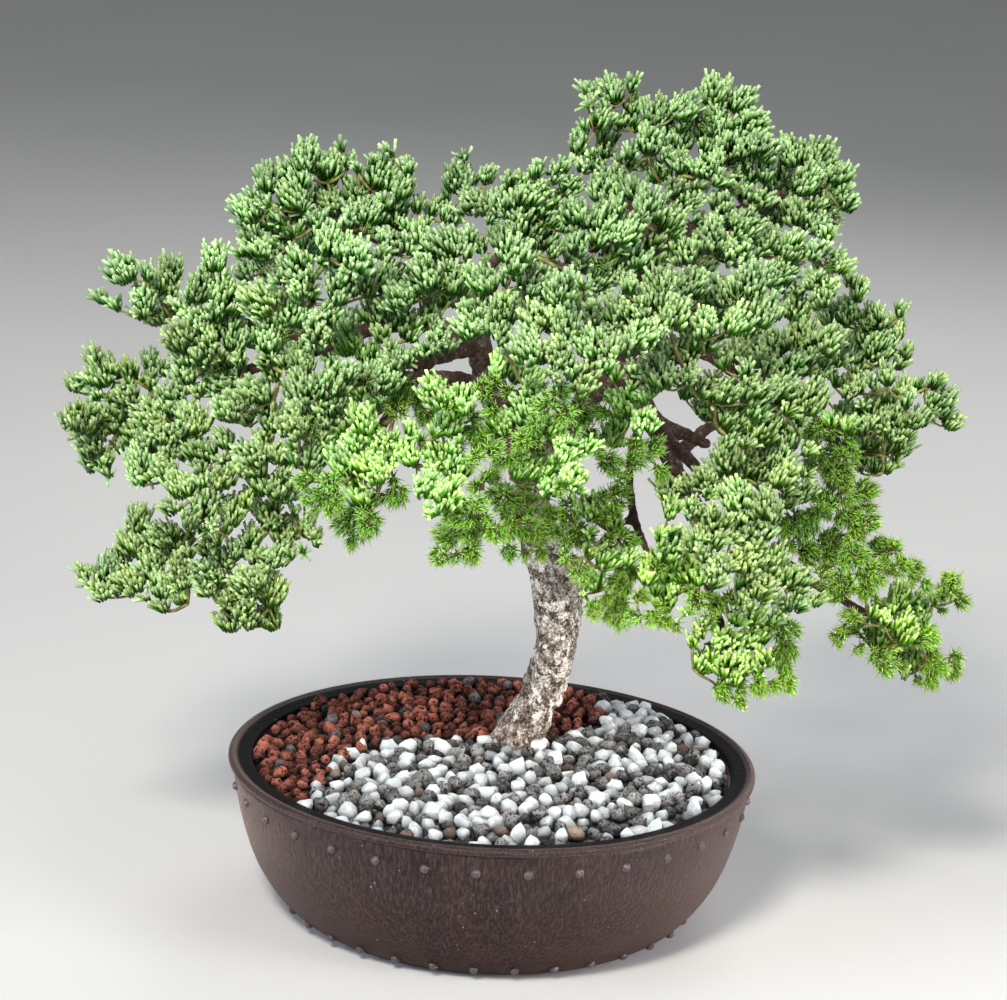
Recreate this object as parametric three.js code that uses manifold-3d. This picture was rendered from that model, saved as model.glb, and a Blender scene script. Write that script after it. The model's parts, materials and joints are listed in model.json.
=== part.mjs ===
// Procumbens nana juniper bonsai in a round nail-head training pot.
// Millimetres, +Z up, origin at the centre of the pot's underside, the viewed side towards -Y.

import * as THREE from 'three';
import { mergeVertices } from 'three/addons/utils/BufferGeometryUtils.js';
import Module from 'manifold-3d';

const wasm = await Module();
wasm.setup();

// Driving sizes of the pot
const RIM_RADIUS = 152.5;
const POT_HEIGHT = 91;
const BASE_RADIUS = 104;
const BEAD_HEIGHT = 4.6;
const BEAD_DEPTH = 3;
const BEAD_STEPS = 3;
const LIP_WIDTH = 14;
const LIP_DROP = 0.9;
const FLOOR_THICKNESS = 9;
const FLOOR_RADIUS = 104;
const INNER_BEND = { radius: 130, up: 46 };
const NAIL_COUNT = 33;
const POT_SIDES = NAIL_COUNT;
const NAIL_RADIUS = 4;
const NAIL_ROWS = [{ up: 75.5, out: 146.6 }, { up: 9, out: 118.6 }];
const SEAM_ANGLE = 0.6;
const DRAIN_HOLE_RADIUS = 9;
const DRAIN_CIRCLE_RADIUS = 50;
const DRAIN_HOLES = 3;
const DRAIN_SIDES = 10;

// Driving sizes of what the pot holds
const CLEARANCE = 0.35;
const MERGE_TOLERANCE = 0.12;
const WOOD_TOLERANCE = 0.4;
const SCREEN_SIDE = 32;
const SCREEN_THICKNESS = 1.2;
const SCREEN_HOLE = 8;
const SCREEN_HOLE_OFFSET = 6;
const SOIL_TOP = 77;
const SOIL_RADIUS = 134.8;
const SOIL_GAP = 0.9;
const BED_TOP = 94;
const BED_TILT = 3;
const BED_DISH = 3.5;
const BED_RADIUS = 135.2;
const BED_LOW = 60;
const BED_HIGH = 130;
const BED_SIDES = 33;
const MOUND_HEIGHT = 4;
const MOUND_RADIUS = 30;
const STONE_SPACING = 24;
const STONE_RISE = 6;
const TRUNK_HOLE_RADIUS = 19.5;
const TRUNK_HOLE_SIDES = 14;
const ROOT_DEPTH = 50;

// Driving sizes of the foliage
const EYE = { back: 1800, up: 722 };
const CORE_SHARE = 0.36;
const CORE_MIN = 3.2;
const CORE_MAX = 5.1;
const TUFT_SPACING = 16;
const STAGGER = 13;
const STEM_LENGTH = 2.5;
const TWIG_RADIUS = 2;
const KNOT_ALLOWANCE = 1.1;
const SPREAD_ROUNDS = 40;
const NEEDLE_COSINE = 0.8;
const LEAST_FACE_COSINE = 0.16;
const NEIGHBOUR_REACH = 60;

// Colours, as seen on the dry plant
const CLAY = { color: 0x3d3534, roughness: 0.62 };
const SOIL = { color: 0x4a3a2c, roughness: 0.95 };
const RED_LAVA = { color: 0x6b2f26, roughness: 0.95 };
const PUMICE = { color: 0xcfcfcb, roughness: 0.95 };
const BARK = { color: 0x7d6a5e, roughness: 0.9 };
const SCREEN = { color: 0x202020, roughness: 0.6 };
const SHOOTS = { color: 0x5f9a5b, roughness: 0.6 };
const NEEDLES = { color: 0x86a648, roughness: 0.6 };
const YOUNG_BOUGHS = new Set([
  'left_front_tuft', 'left_under', 'centre_under', 'right_needles', 'right_tail', 'right_inner',
  'centre_hanging', 'trunk_needles', 'centre_right_low', 'right_hanging', 'centre_front_low',
]);

// The trunk's course: across, back, up and radius
const TRUNK = [
  [13, 20, ROOT_DEPTH, 14], [13, 20, 84, 16.5], [15, 19, 98, 15], [24, 17, 120, 12.6],
  [32, 14, 146, 12.2], [35, 11, 173, 13.4], [30, 9, 195, 12.8], [23, 8, 212, 12.2],
  [17, 9, 236, 11], [12, 12, 262, 10.4], [0, 14, 288, 9.6], [-14, 14, 312, 8.6],
  [-22, 12, 338, 7.6], [-24, 12, 362, 6.4],
];

// The limbs' courses, each starting inside the wood that carries it
const LIMBS = [
  [[14, 11, 252, 8.6], [32, 7, 284, 8], [48, 1, 312, 7.4], [62, -4, 322, 6.8], [77, -8, 301, 6.2],
    [90, -10, 277, 6], [104, -12, 255, 5.4], [122, -20, 240, 4.6], [152, -30, 226, 4], [188, -30, 206, 3.2],
    [222, -18, 186, 2.6]],
  [[52, 0, 314, 6.4], [62, 10, 350, 5.8], [71, 18, 385, 5.4], [84, 20, 412, 4.8], [96, 17, 436, 3.8]],
  [[74, 19, 392, 3.6], [62, 28, 412, 3], [57, 30, 423, 2.6]],
  [[72, 18, 388, 4.6], [98, 16, 402, 4.4], [124, 15, 414, 3.8], [148, 18, 426, 3]],
  [[62, -4, 322, 5], [88, -10, 338, 4.6], [108, -12, 338, 4.2], [128, -13, 326, 3.8], [150, -22, 332, 3.4],
    [180, -12, 338, 3]],
  [[128, -13, 326, 3.4], [158, -22, 312, 3.2], [186, -26, 300, 3], [212, -12, 306, 2.4]],
  [[78, -8, 300, 4.6], [98, -6, 290, 4.2], [114, -8, 284, 3.4]],
  [[-20, 12, 332, 6], [-46, 5, 342, 5.6], [-76, 0, 340, 5], [-106, -8, 330, 4.4], [-140, -14, 318, 3.8],
    [-174, -12, 304, 3.2], [-204, -10, 292, 2.6]],
  [[-24, 12, 358, 5.2], [-46, 10, 378, 4.8], [-76, 8, 390, 4.4], [-104, 4, 398, 3.8], [-122, 2, 398, 3]],
  [[-106, -8, 330, 3.6], [-138, -20, 342, 3.2], [-168, -24, 348, 2.8], [-196, -14, 352, 2.4]],
  [[-10, 14, 306, 4.8], [-46, 8, 302, 4.4], [-88, -2, 288, 4], [-124, -16, 262, 3.4], [-156, -24, 226, 3],
    [-184, -20, 204, 2.6]],
  [[-23, 12, 356, 4], [-14, 4, 380, 3.6], [0, -6, 394, 3]],
  [[2, 13, 285, 5], [0, -36, 300, 4.6], [2, -76, 318, 4], [8, -104, 334, 3.2]],
  [[-20, 12, 330, 4.8], [-44, -28, 330, 4.4], [-72, -62, 330, 3.8], [-100, -82, 316, 3.2]],
  [[0, -40, 301, 3.8], [-16, -78, 292, 3.4], [-28, -106, 282, 2.6]],
  [[44, 2, 306, 5], [58, -40, 322, 4.6], [76, -76, 338, 3.8], [94, -96, 342, 3]],
  [[80, -8, 298, 4.4], [100, -44, 284, 4], [122, -72, 270, 3.4], [136, -84, 254, 2.8]],
  [[76, -8, 303, 3.4], [68, -30, 276, 3], [73, -44, 248, 2.8], [80, -62, 234, 2.4]],
  [[72, -43, 250, 2.4], [60, -46, 242, 2.2], [52, -46, 232, 2]],
  [[104, -12, 256, 4], [110, -48, 232, 3.6], [118, -66, 208, 3], [126, -72, 188, 2.6]],
  [[-44, -28, 330, 3.6], [-70, -74, 300, 3.2], [-84, -96, 282, 2.6]],
  [[-14, 14, 314, 5], [-26, 56, 336, 4.4], [-48, 78, 352, 3.6], [-80, 84, 366, 2.8]],
  [[-6, 14, 300, 4.6], [-34, 62, 300, 4], [-72, 84, 292, 3.2], [-104, 78, 284, 2.6]],
  [[48, 1, 312, 5], [44, 48, 336, 4.4], [30, 86, 352, 3.4], [14, 104, 352, 2.8]],
  [[58, 0, 322, 5], [78, 46, 340, 4.2], [94, 82, 348, 3.4], [112, 92, 350, 2.8]],
  [[92, -10, 274, 4.6], [110, 36, 280, 4], [130, 68, 284, 3.2], [146, 76, 284, 2.6]],
];

// The boughs' tufts as seen square on, in the upright plane through the pot's axis: [across, up, radius].
// The number after the name is how far the bough stands behind that plane.
const BOUGHS = [
  bough('left_tip_high', -12, [-219, 366, 13], [-207, 350, 12], [-231, 349, 7], [-193, 366, 12],
    [-193, 347, 11]),
  bough('left_high', -34, [-168, 375, 12], [-176, 357, 13], [-158, 352, 14], [-176, 338, 13],
    [-155, 330, 13], [-172, 322, 13], [-187, 328, 12], [-165, 306, 12], [-183, 308, 12]),
  bough('left_crown', 4, [-151, 402, 13], [-140, 420, 12], [-146, 380, 14], [-130, 394, 12],
    [-120, 434, 14], [-106, 428, 13], [-124, 412, 14], [-107, 408, 14]),
  bough('second_crown', 14, [-78, 426, 14], [-65, 420, 11], [-84, 405, 12], [-68, 402, 11],
    [-92, 416, 11]),
  bough('left_front', -82, [-104, 388, 14], [-88, 378, 14], [-72, 368, 13], [-98, 360, 13],
    [-122, 372, 13], [-142, 352, 14], [-124, 347, 13], [-108, 337, 14], [-136, 330, 13],
    [-118, 318, 13]),
  bough('left_tip_mid', -4, [-230, 307, 14], [-244, 298, 8], [-215, 308, 9], [-203, 313, 9],
    [-215, 292, 12]),
  bough('left_tip_low', -20, [-240, 280, 14], [-226, 280, 13], [-249, 277, 8], [-236, 264, 12],
    [-236, 253, 8], [-212, 273, 12]),
  bough('left_low_front', -54, [-190, 293, 13], [-202, 282, 12], [-176, 281, 13], [-192, 270, 12],
    [-208, 254, 13], [-193, 251, 11]),
  bough('left_low_mid', -70, [-174, 262, 12], [-184, 243, 12], [-170, 232, 12], [-155, 228, 12],
    [-160, 248, 11], [-158, 290, 12], [-142, 300, 13], [-134, 284, 12], [-142, 263, 12],
    [-140, 246, 11]),
  bough('left_front_low', -108, [-118, 302, 14], [-104, 288, 14], [-122, 280, 12], [-98, 308, 13],
    [-110, 263, 12]),
  bough('left_front_tuft', -128, [-82, 286, 13], [-72, 274, 12], [-92, 262, 14], [-76, 257, 13],
    [-82, 242, 11], [-90, 228, 10], [-76, 227, 10], [-62, 245, 9], [-108, 240, 9]),
  bough('left_under', -50, [-92, 332, 14], [-78, 322, 12], [-84, 306, 12], [-66, 311, 11],
    [-54, 302, 8]),
  bough('left_fan', -16, [-207, 222, 13], [-192, 214, 12], [-212, 206, 12], [-182, 206, 11],
    [-198, 197, 12], [-224, 190, 13], [-239, 188, 8], [-212, 183, 12], [-228, 178, 9], [-194, 182, 11],
    [-184, 192, 10]),
  bough('left_fan_front', -56, [-166, 207, 12], [-168, 192, 12], [-156, 180, 12], [-144, 188, 13],
    [-130, 182, 13], [-146, 168, 12], [-156, 162, 9], [-131, 166, 10], [-128, 204, 10],
    [-124, 217, 11], [-143, 214, 10], [-137, 229, 10], [-112, 224, 10]),
  bough('centre_left_top', 0, [-34, 426, 13], [-24, 412, 12], [-48, 409, 9], [-56, 394, 10]),
  bough('centre_left_front', -72, [-40, 388, 14], [-51, 371, 14], [-32, 368, 13], [-64, 358, 12],
    [-46, 352, 12], [-77, 349, 12], [-58, 340, 11], [-41, 336, 10]),
  bough('centre_top', -30, [-8, 414, 13], [6, 420, 13], [19, 410, 13], [2, 397, 13], [27, 425, 9]),
  bough('centre_front_high', -100, [0, 384, 14], [12, 370, 13], [-18, 369, 13], [-22, 350, 13],
    [-5, 353, 13]),
  bough('centre_front', -138, [27, 366, 14], [12, 350, 13], [29, 348, 13], [8, 331, 13], [25, 330, 13],
    [40, 316, 13], [43, 336, 12]),
  bough('centre_under', -88, [-6, 321, 12], [-15, 309, 9], [12, 314, 11], [8, 297, 12], [-6, 287, 11]),
  bough('neck', 25, [47, 478, 13], [60, 471, 9], [42, 462, 9], [31, 449, 10], [46, 447, 10],
    [53, 433, 8]),
  bough('crown_top', 12, [72, 468, 13], [70, 452, 12], [87, 472, 12], [88, 454, 11], [76, 436, 11],
    [104, 481, 13], [119, 476, 12], [105, 464, 13], [127, 464, 12], [114, 449, 12], [132, 452, 12],
    [135, 439, 11], [122, 435, 10], [102, 440, 11], [97, 426, 10]),
  bough('crown_right', 20, [148, 450, 13], [164, 449, 13], [175, 438, 11], [157, 434, 13],
    [141, 430, 12], [171, 424, 12], [182, 423, 9], [152, 416, 12], [167, 410, 11], [135, 412, 11]),
  bough('centre_right_high', -48, [62, 426, 11], [44, 424, 12], [32, 410, 13], [48, 405, 12],
    [72, 416, 13], [84, 408, 12], [60, 400, 12], [52, 385, 12], [67, 387, 12]),
  bough('right_high', -42, [112, 416, 13], [125, 408, 12], [106, 400, 13], [92, 391, 12],
    [120, 392, 13], [138, 400, 12], [153, 396, 12], [146, 380, 13], [166, 395, 9], [172, 405, 7],
    [168, 380, 11]),
  bough('right_front_high', -118, [80, 372, 13], [97, 373, 12], [68, 358, 12], [88, 354, 13],
    [72, 342, 13], [56, 356, 12]),
  bough('right_front_mid', -104, [130, 376, 14], [114, 370, 13], [140, 360, 13], [124, 354, 13],
    [106, 350, 12], [99, 336, 12], [84, 333, 12]),
  bough('right_out_mid', -42, [156, 364, 12], [161, 348, 13], [146, 342, 12], [177, 344, 12],
    [172, 330, 12], [157, 330, 11]),
  bough('right_out_high', 0, [184, 362, 12], [191, 374, 9], [201, 359, 12], [213, 352, 11],
    [204, 342, 12], [220, 341, 8], [190, 338, 11]),
  bough('right_tip', -14, [240, 313, 13], [229, 303, 10], [248, 303, 9], [210, 327, 9], [193, 322, 11],
    [206, 309, 14], [218, 298, 13], [200, 292, 13], [223, 287, 10], [206, 278, 12], [188, 303, 11]),
  bough('right_centre', -86, [120, 313, 12], [136, 313, 13], [152, 316, 12], [126, 297, 12],
    [143, 293, 13], [110, 302, 9], [156, 284, 12], [124, 274, 13], [140, 271, 13], [157, 265, 12],
    [112, 262, 11], [169, 257, 10]),
  bough('right_lower_front', -112, [130, 253, 13], [146, 248, 13], [117, 238, 12], [136, 233, 13],
    [154, 215, 13], [168, 205, 12], [150, 199, 11], [136, 216, 12], [140, 202, 11], [124, 210, 11]),
  bough('right_needles', -30, [190, 270, 11], [204, 262, 10], [181, 255, 11], [197, 246, 10],
    [172, 240, 11], [184, 287, 10], [186, 230, 12], [200, 222, 12], [174, 223, 11], [216, 228, 11],
    [212, 212, 11], [235, 217, 8]),
  bough('right_tail', -16, [228, 199, 12], [218, 188, 11], [241, 190, 11], [255, 206, 9],
    [263, 199, 7], [232, 178, 12], [246, 176, 10], [218, 173, 11], [204, 182, 9], [195, 174, 8],
    [238, 162, 11], [224, 158, 9], [252, 160, 10], [262, 157, 8]),
  bough('centre_hanging', -128, [-42, 304, 13], [-26, 300, 12], [-34, 287, 11], [-18, 282, 10],
    [-8, 275, 8], [-40, 268, 13], [-27, 262, 11], [-45, 250, 12], [-32, 244, 12], [-24, 234, 10],
    [-32, 223, 10], [-14, 228, 9], [-36, 211, 8], [-18, 212, 8], [-4, 226, 8]),
  bough('centre_front_low', -124, [24, 287, 12], [34, 274, 13], [22, 261, 12], [38, 258, 11],
    [8, 263, 11], [-3, 270, 8], [31, 299, 9]),
  bough('trunk_needles', -44, [-2, 247, 12], [12, 243, 11], [3, 228, 9], [20, 226, 9], [26, 238, 9],
    [-9, 259, 9]),
  bough('centre_right_low', -66, [48, 242, 12], [61, 236, 11], [44, 226, 10], [64, 252, 9],
    [70, 226, 9], [60, 212, 11], [52, 200, 11], [68, 200, 10], [64, 186, 9], [54, 183, 8],
    [44, 204, 8]),
  bough('right_inner', -94, [64, 303, 12], [76, 293, 12], [60, 286, 12], [82, 280, 9], [72, 272, 8],
    [42, 296, 8]),
  bough('right_hanging', -88, [94, 220, 13], [84, 206, 12], [105, 208, 12], [94, 191, 11],
    [88, 181, 7], [112, 192, 9], [124, 190, 9], [132, 166, 13], [146, 170, 12], [120, 153, 11],
    [134, 150, 13], [150, 156, 12], [162, 160, 9], [130, 139, 9], [151, 142, 8]),
  bough('back_left_high', 66, [-126, 400, 14], [-108, 404, 14], [-116, 386, 14], [-96, 388, 13],
    [-134, 382, 13], [-98, 370, 13]),
  bough('back_left_mid', 92, [-136, 348, 14], [-118, 340, 14], [-104, 330, 13], [-126, 322, 13],
    [-146, 332, 13], [-88, 342, 12]),
  bough('back_left_low', 84, [-112, 300, 14], [-96, 290, 14], [-122, 284, 13], [-104, 274, 12],
    [-140, 296, 12], [-156, 288, 11]),
  bough('back_left_far', 44, [-196, 288, 13], [-180, 280, 13], [-210, 270, 12], [-192, 264, 12],
    [-174, 262, 11], [-180, 312, 11]),
  bough('back_centre_left', 100, [-44, 384, 14], [-52, 366, 14], [-34, 362, 14], [-18, 374, 13],
    [-66, 362, 12]),
  bough('back_centre', 126, [4, 378, 14], [22, 372, 14], [6, 358, 14], [28, 352, 14], [-8, 394, 13],
    [14, 396, 13]),
  bough('back_right_high', 88, [70, 404, 14], [54, 410, 13], [86, 398, 13], [108, 404, 14],
    [122, 396, 13], [104, 386, 13], [78, 384, 12]),
  bough('back_right_mid', 112, [96, 366, 14], [114, 360, 14], [80, 356, 14], [130, 366, 14],
    [98, 348, 13], [134, 350, 13]),
  bough('back_right_far', 66, [162, 350, 14], [180, 346, 13], [170, 334, 12], [198, 346, 12],
    [200, 300, 12]),
  bough('back_right_low', 92, [138, 302, 14], [124, 294, 13], [150, 290, 13], [142, 274, 14],
    [126, 266, 13], [156, 268, 12]),
];

// Helpers for random draws and solids
function bough(name, behind, ...tufts) {
  return { name, behind, tufts, finish: YOUNG_BOUGHS.has(name) ? NEEDLES : SHOOTS };
}

function seeded(seed) {
  let state = seed >>> 0;
  return () => {
    state = (state + 0x6d2b79f5) >>> 0;
    let t = Math.imul(state ^ (state >>> 15), state | 1);
    t ^= t + Math.imul(t ^ (t >>> 7), t | 61);
    return ((t ^ (t >>> 14)) >>> 0) / 4294967296;
  };
}

function signedVolume(positions, indices) {
  let sum = 0;
  const [a, b, c] = [new THREE.Vector3(), new THREE.Vector3(), new THREE.Vector3()];
  for (let i = 0; i < indices.length; i += 3) {
    a.fromArray(positions, indices[i] * 3);
    b.fromArray(positions, indices[i + 1] * 3);
    c.fromArray(positions, indices[i + 2] * 3);
    sum += a.dot(b.cross(c));
  }
  return sum / 6;
}

// A closed three.js geometry as a solid, with repeated corners merged and its faces outwards
function solid(geometry) {
  const bare = geometry.clone();
  bare.deleteAttribute('normal');
  bare.deleteAttribute('uv');
  const merged = mergeVertices(bare, 1e-4);
  const positions = Float32Array.from(merged.attributes.position.array);
  const source = merged.index.array;
  const kept = [];
  for (let i = 0; i < source.length; i += 3) {
    const [a, b, c] = [source[i], source[i + 1], source[i + 2]];
    if (a !== b && b !== c && a !== c) kept.push(a, b, c);
  }
  if (signedVolume(positions, kept) < 0) {
    for (let i = 0; i < kept.length; i += 3) [kept[i], kept[i + 1]] = [kept[i + 1], kept[i]];
  }
  const mesh = new wasm.Mesh({ numProp: 3, vertProperties: positions, triVerts: Uint32Array.from(kept) });
  return new wasm.Manifold(mesh);
}

function geometryOf(body) {
  const mesh = body.getMesh();
  const geometry = new THREE.BufferGeometry();
  geometry.setAttribute('position', new THREE.BufferAttribute(Float32Array.from(mesh.vertProperties), 3));
  geometry.setIndex(new THREE.BufferAttribute(Uint32Array.from(mesh.triVerts), 1));
  return geometry;
}

function indexedGeometry(points, faces) {
  const geometry = new THREE.BufferGeometry();
  geometry.setAttribute('position', new THREE.Float32BufferAttribute(points.flatMap((p) => p.toArray()), 3));
  geometry.setIndex(faces.flat());
  return geometry;
}

function namedMesh(name, geometry, finish) {
  geometry.computeVertexNormals();
  const mesh = new THREE.Mesh(geometry, new THREE.MeshStandardMaterial({ metalness: 0, ...finish }));
  mesh.name = name;
  return mesh;
}

function cylinder(radius, bottom, top, sides) {
  const shape = new THREE.CylinderGeometry(radius, radius, top - bottom, sides);
  return shape.rotateX(Math.PI / 2).translate(0, 0, (top + bottom) / 2);
}

function turned(profile, sides) {
  const points = profile.map(([out, up]) => new THREE.Vector2(out, up));
  const phase = THREE.MathUtils.degToRad(SEAM_ANGLE);
  return new THREE.LatheGeometry(points, sides).rotateX(Math.PI / 2).rotateZ(phase);
}

// Pot
function outerWall() {
  const top = POT_HEIGHT - BEAD_HEIGHT;
  return [
    [BASE_RADIUS, 0], [111, 2.2], [119, 8], [127, 17], [135.6, 31], [142.6, 50], [149, top - 6],
    [149.4, top - 0.6],
  ];
}

function rimBead() {
  const middle = POT_HEIGHT - BEAD_HEIGHT / 2;
  return Array.from({ length: BEAD_STEPS + 1 }, (_, step) => {
    const angle = -Math.PI / 2 + (step / BEAD_STEPS) * Math.PI;
    return [RIM_RADIUS - BEAD_DEPTH * (1 - Math.cos(angle)), middle + (BEAD_HEIGHT / 2) * Math.sin(angle)];
  });
}

function innerWall() {
  const edge = RIM_RADIUS - LIP_WIDTH;
  return [
    [edge + 9.5, POT_HEIGHT - LIP_DROP], [edge, POT_HEIGHT - LIP_DROP - 1], [edge - 0.8, POT_HEIGHT - 9],
    [INNER_BEND.radius, INNER_BEND.up], [FLOOR_RADIUS, FLOOR_THICKNESS], [0, FLOOR_THICKNESS],
  ];
}

function drainCentres() {
  return Array.from({ length: DRAIN_HOLES }, (_, k) => {
    const angle = Math.PI / 2 + (k * 2 * Math.PI) / DRAIN_HOLES;
    return [DRAIN_CIRCLE_RADIUS * Math.cos(angle), DRAIN_CIRCLE_RADIUS * Math.sin(angle)];
  });
}

function potSolid() {
  const profile = [[0, 0], ...outerWall(), ...rimBead(), ...innerWall()];
  let body = solid(turned(profile, POT_SIDES));
  for (const row of NAIL_ROWS) {
    for (let k = 0; k < NAIL_COUNT; k += 1) {
      const angle = THREE.MathUtils.degToRad(SEAM_ANGLE + ((k + 0.5) * 360) / NAIL_COUNT);
      const head = new THREE.OctahedronGeometry(NAIL_RADIUS).rotateX(Math.PI / 4).rotateZ(angle);
      head.translate(row.out * Math.cos(angle), row.out * Math.sin(angle), row.up);
      body = body.add(solid(head));
    }
  }
  for (const [x, y] of drainCentres()) {
    const hole = cylinder(DRAIN_HOLE_RADIUS, -2, FLOOR_THICKNESS + 2, DRAIN_SIDES);
    body = body.subtract(solid(hole.translate(x, y, 0)));
  }
  return body.simplify(MERGE_TOLERANCE);
}

// Drain screens: a thin plate with square holes over each drain hole
function screenSolid(x, y) {
  const bottom = FLOOR_THICKNESS + CLEARANCE;
  const middle = bottom + SCREEN_THICKNESS / 2;
  const sheet = new THREE.BoxGeometry(SCREEN_SIDE, SCREEN_SIDE, SCREEN_THICKNESS);
  let plate = solid(sheet.translate(x, y, middle));
  for (const i of [-1, 1]) {
    for (const j of [-1, 1]) {
      const hole = new THREE.BoxGeometry(SCREEN_HOLE, SCREEN_HOLE, 2 * SCREEN_THICKNESS);
      hole.translate(x + i * SCREEN_HOLE_OFFSET, y + j * SCREEN_HOLE_OFFSET, middle);
      plate = plate.subtract(solid(hole));
    }
  }
  return plate;
}

// Soil: fills the pot, with a recess for each screen and a plain hole for the root
function soilSolid() {
  const bottom = FLOOR_THICKNESS + CLEARANCE;
  const profile = [
    [0, bottom], [FLOOR_RADIUS - SOIL_GAP, bottom], [INNER_BEND.radius - SOIL_GAP, INNER_BEND.up],
    [SOIL_RADIUS, SOIL_TOP], [0, SOIL_TOP],
  ];
  let body = solid(turned(profile, POT_SIDES));
  const recess = SCREEN_SIDE + 2 * CLEARANCE;
  for (const [x, y] of drainCentres()) {
    const height = 2 * (SCREEN_THICKNESS + CLEARANCE);
    body = body.subtract(solid(new THREE.BoxGeometry(recess, recess, height).translate(x, y, bottom)));
  }
  const [x, y] = TRUNK[1];
  const hole = cylinder(TRUNK_HOLE_RADIUS, ROOT_DEPTH - CLEARANCE, SOIL_TOP + 5, TRUNK_HOLE_SIDES);
  return body.subtract(solid(hole.translate(x, y, 0)));
}

// Stones: a sheet of angular bumps in a hexagonal pattern, each with a small tilted top
function bedHeight(x, y) {
  const far = Math.hypot(x, y) / BED_RADIUS;
  const near = Math.hypot(x - TRUNK[1][0], y - TRUNK[1][1]) / MOUND_RADIUS;
  const mound = MOUND_HEIGHT * Math.exp(-(near ** 2));
  return BED_TOP + BED_TILT * (y / BED_RADIUS) - BED_DISH * far ** 4 + mound;
}

function stoneSheet() {
  const random = seeded(11);
  const rowStep = STONE_SPACING * 0.8660254;
  const reach = Math.ceil(BED_RADIUS / rowStep) + 1;
  const corner = STONE_SPACING / Math.sqrt(3);
  const points = [];
  const faces = [];
  const known = new Map();
  const valley = (x, y) => {
    const key = `${Math.round(x)},${Math.round(y)}`;
    if (!known.has(key)) {
      const [dx, dy] = [(random() - 0.5) * 3, (random() - 0.5) * 3];
      known.set(key, points.length);
      points.push(new THREE.Vector3(x + dx, y + dy, bedHeight(x, y) - STONE_RISE));
    }
    return known.get(key);
  };
  for (let row = -reach; row <= reach; row += 1) {
    for (let column = -reach; column <= reach; column += 1) {
      const x = (column + (row % 2 ? 0.5 : 0)) * STONE_SPACING;
      const y = row * rowStep;
      const ring = [];
      for (let k = 0; k < 6; k += 1) {
        const angle = Math.PI / 6 + (k * Math.PI) / 3;
        ring.push(valley(x + corner * Math.cos(angle), y + corner * Math.sin(angle)));
      }
      const turn = random() * 0.7;
      const top = [];
      for (let k = 0; k < 3; k += 1) {
        const angle = Math.PI / 6 + turn + (k * 2 * Math.PI) / 3;
        const out = STONE_SPACING * (0.26 + 0.1 * random());
        top.push(points.length);
        const height = bedHeight(x, y) + STONE_RISE * (random() - 0.45) * 0.6;
        points.push(new THREE.Vector3(x + out * Math.cos(angle), y + out * Math.sin(angle), height));
      }
      faces.push([top[0], top[1], top[2]]);
      for (let k = 0; k < 3; k += 1) {
        const [t, u] = [top[k], top[(k + 1) % 3]];
        const [a, b, c] = [ring[2 * k], ring[(2 * k + 1) % 6], ring[(2 * k + 2) % 6]];
        faces.push([t, a, b], [t, b, u], [u, b, c]);
      }
    }
  }
  return closedBelow(points, faces, SOIL_TOP + CLEARANCE);
}

// Closes a sheet of faces with a skirt and a flat underside
function closedBelow(points, faces, bottom) {
  const open = new Map();
  for (const [a, b, c] of faces) {
    for (const [from, to] of [[a, b], [b, c], [c, a]]) {
      if (!open.delete(`${to},${from}`)) open.set(`${from},${to}`, [from, to]);
    }
  }
  const lower = new Map();
  const centre = points.length;
  points.push(new THREE.Vector3(0, 0, bottom));
  const under = (index) => {
    if (!lower.has(index)) {
      lower.set(index, points.length);
      points.push(points[index].clone().setZ(bottom));
    }
    return lower.get(index);
  };
  for (const [from, to] of open.values()) {
    const [a, b] = [under(from), under(to)];
    faces.push([from, a, b], [from, b, to], [centre, b, a]);
  }
  return solid(indexedGeometry(points, faces));
}

// The red stones' outline: the back left of the pot, round behind the trunk
const LAVA_EDGE = [[-150, -92], [-106, -92], [-101, -72], [-95, -44], [-87, -18], [-75, 2], [-52, 18],
  [-28, 26], [-10, 22], [0, 15], [14, 14], [28, 22], [36, 34], [46, 40], [58, 58], [63, 90], [62, 150],
  [-150, 150]];

function lavaOutline() {
  const shape = new THREE.Shape(LAVA_EDGE.map(([x, y]) => new THREE.Vector2(x, y)));
  const block = new THREE.ExtrudeGeometry(shape, { depth: BED_HIGH - BED_LOW, bevelEnabled: false });
  return solid(block.translate(0, 0, BED_LOW));
}

// A thin upright wall along the outline, which keeps the two beds apart
function lavaWall() {
  const width = 2 * CLEARANCE + MERGE_TOLERANCE;
  const [height, middle] = [BED_HIGH - BED_LOW, (BED_HIGH + BED_LOW) / 2];
  return LAVA_EDGE.slice(1).reduce((wall, [x, y], k) => {
    const [fromX, fromY] = LAVA_EDGE[k];
    const length = Math.hypot(x - fromX, y - fromY) + width;
    const box = new THREE.BoxGeometry(length, width, height).rotateZ(Math.atan2(y - fromY, x - fromX));
    return wall.add(solid(box.translate((x + fromX) / 2, (y + fromY) / 2, middle)));
  }, solid(new THREE.BoxGeometry(width, width, height).translate(...LAVA_EDGE[0], middle)));
}

function bedSolids() {
  const [x, y] = TRUNK[1];
  const disc = solid(cylinder(BED_RADIUS, BED_LOW, BED_HIGH, BED_SIDES));
  const hole = solid(cylinder(TRUNK_HOLE_RADIUS, BED_LOW, BED_HIGH, TRUNK_HOLE_SIDES).translate(x, y, 0));
  const bed = stoneSheet().intersect(disc).subtract(hole);
  const apart = bed.subtract(lavaWall());
  const lava = largest(apart.intersect(lavaOutline()).simplify(MERGE_TOLERANCE));
  const pumice = largest(apart.subtract(lavaOutline()).simplify(MERGE_TOLERANCE));
  return { lava, pumice };
}

function largest(body) {
  return body.decompose().reduce((best, piece) => (piece.volume() > best.volume() ? piece : best));
}

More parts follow.
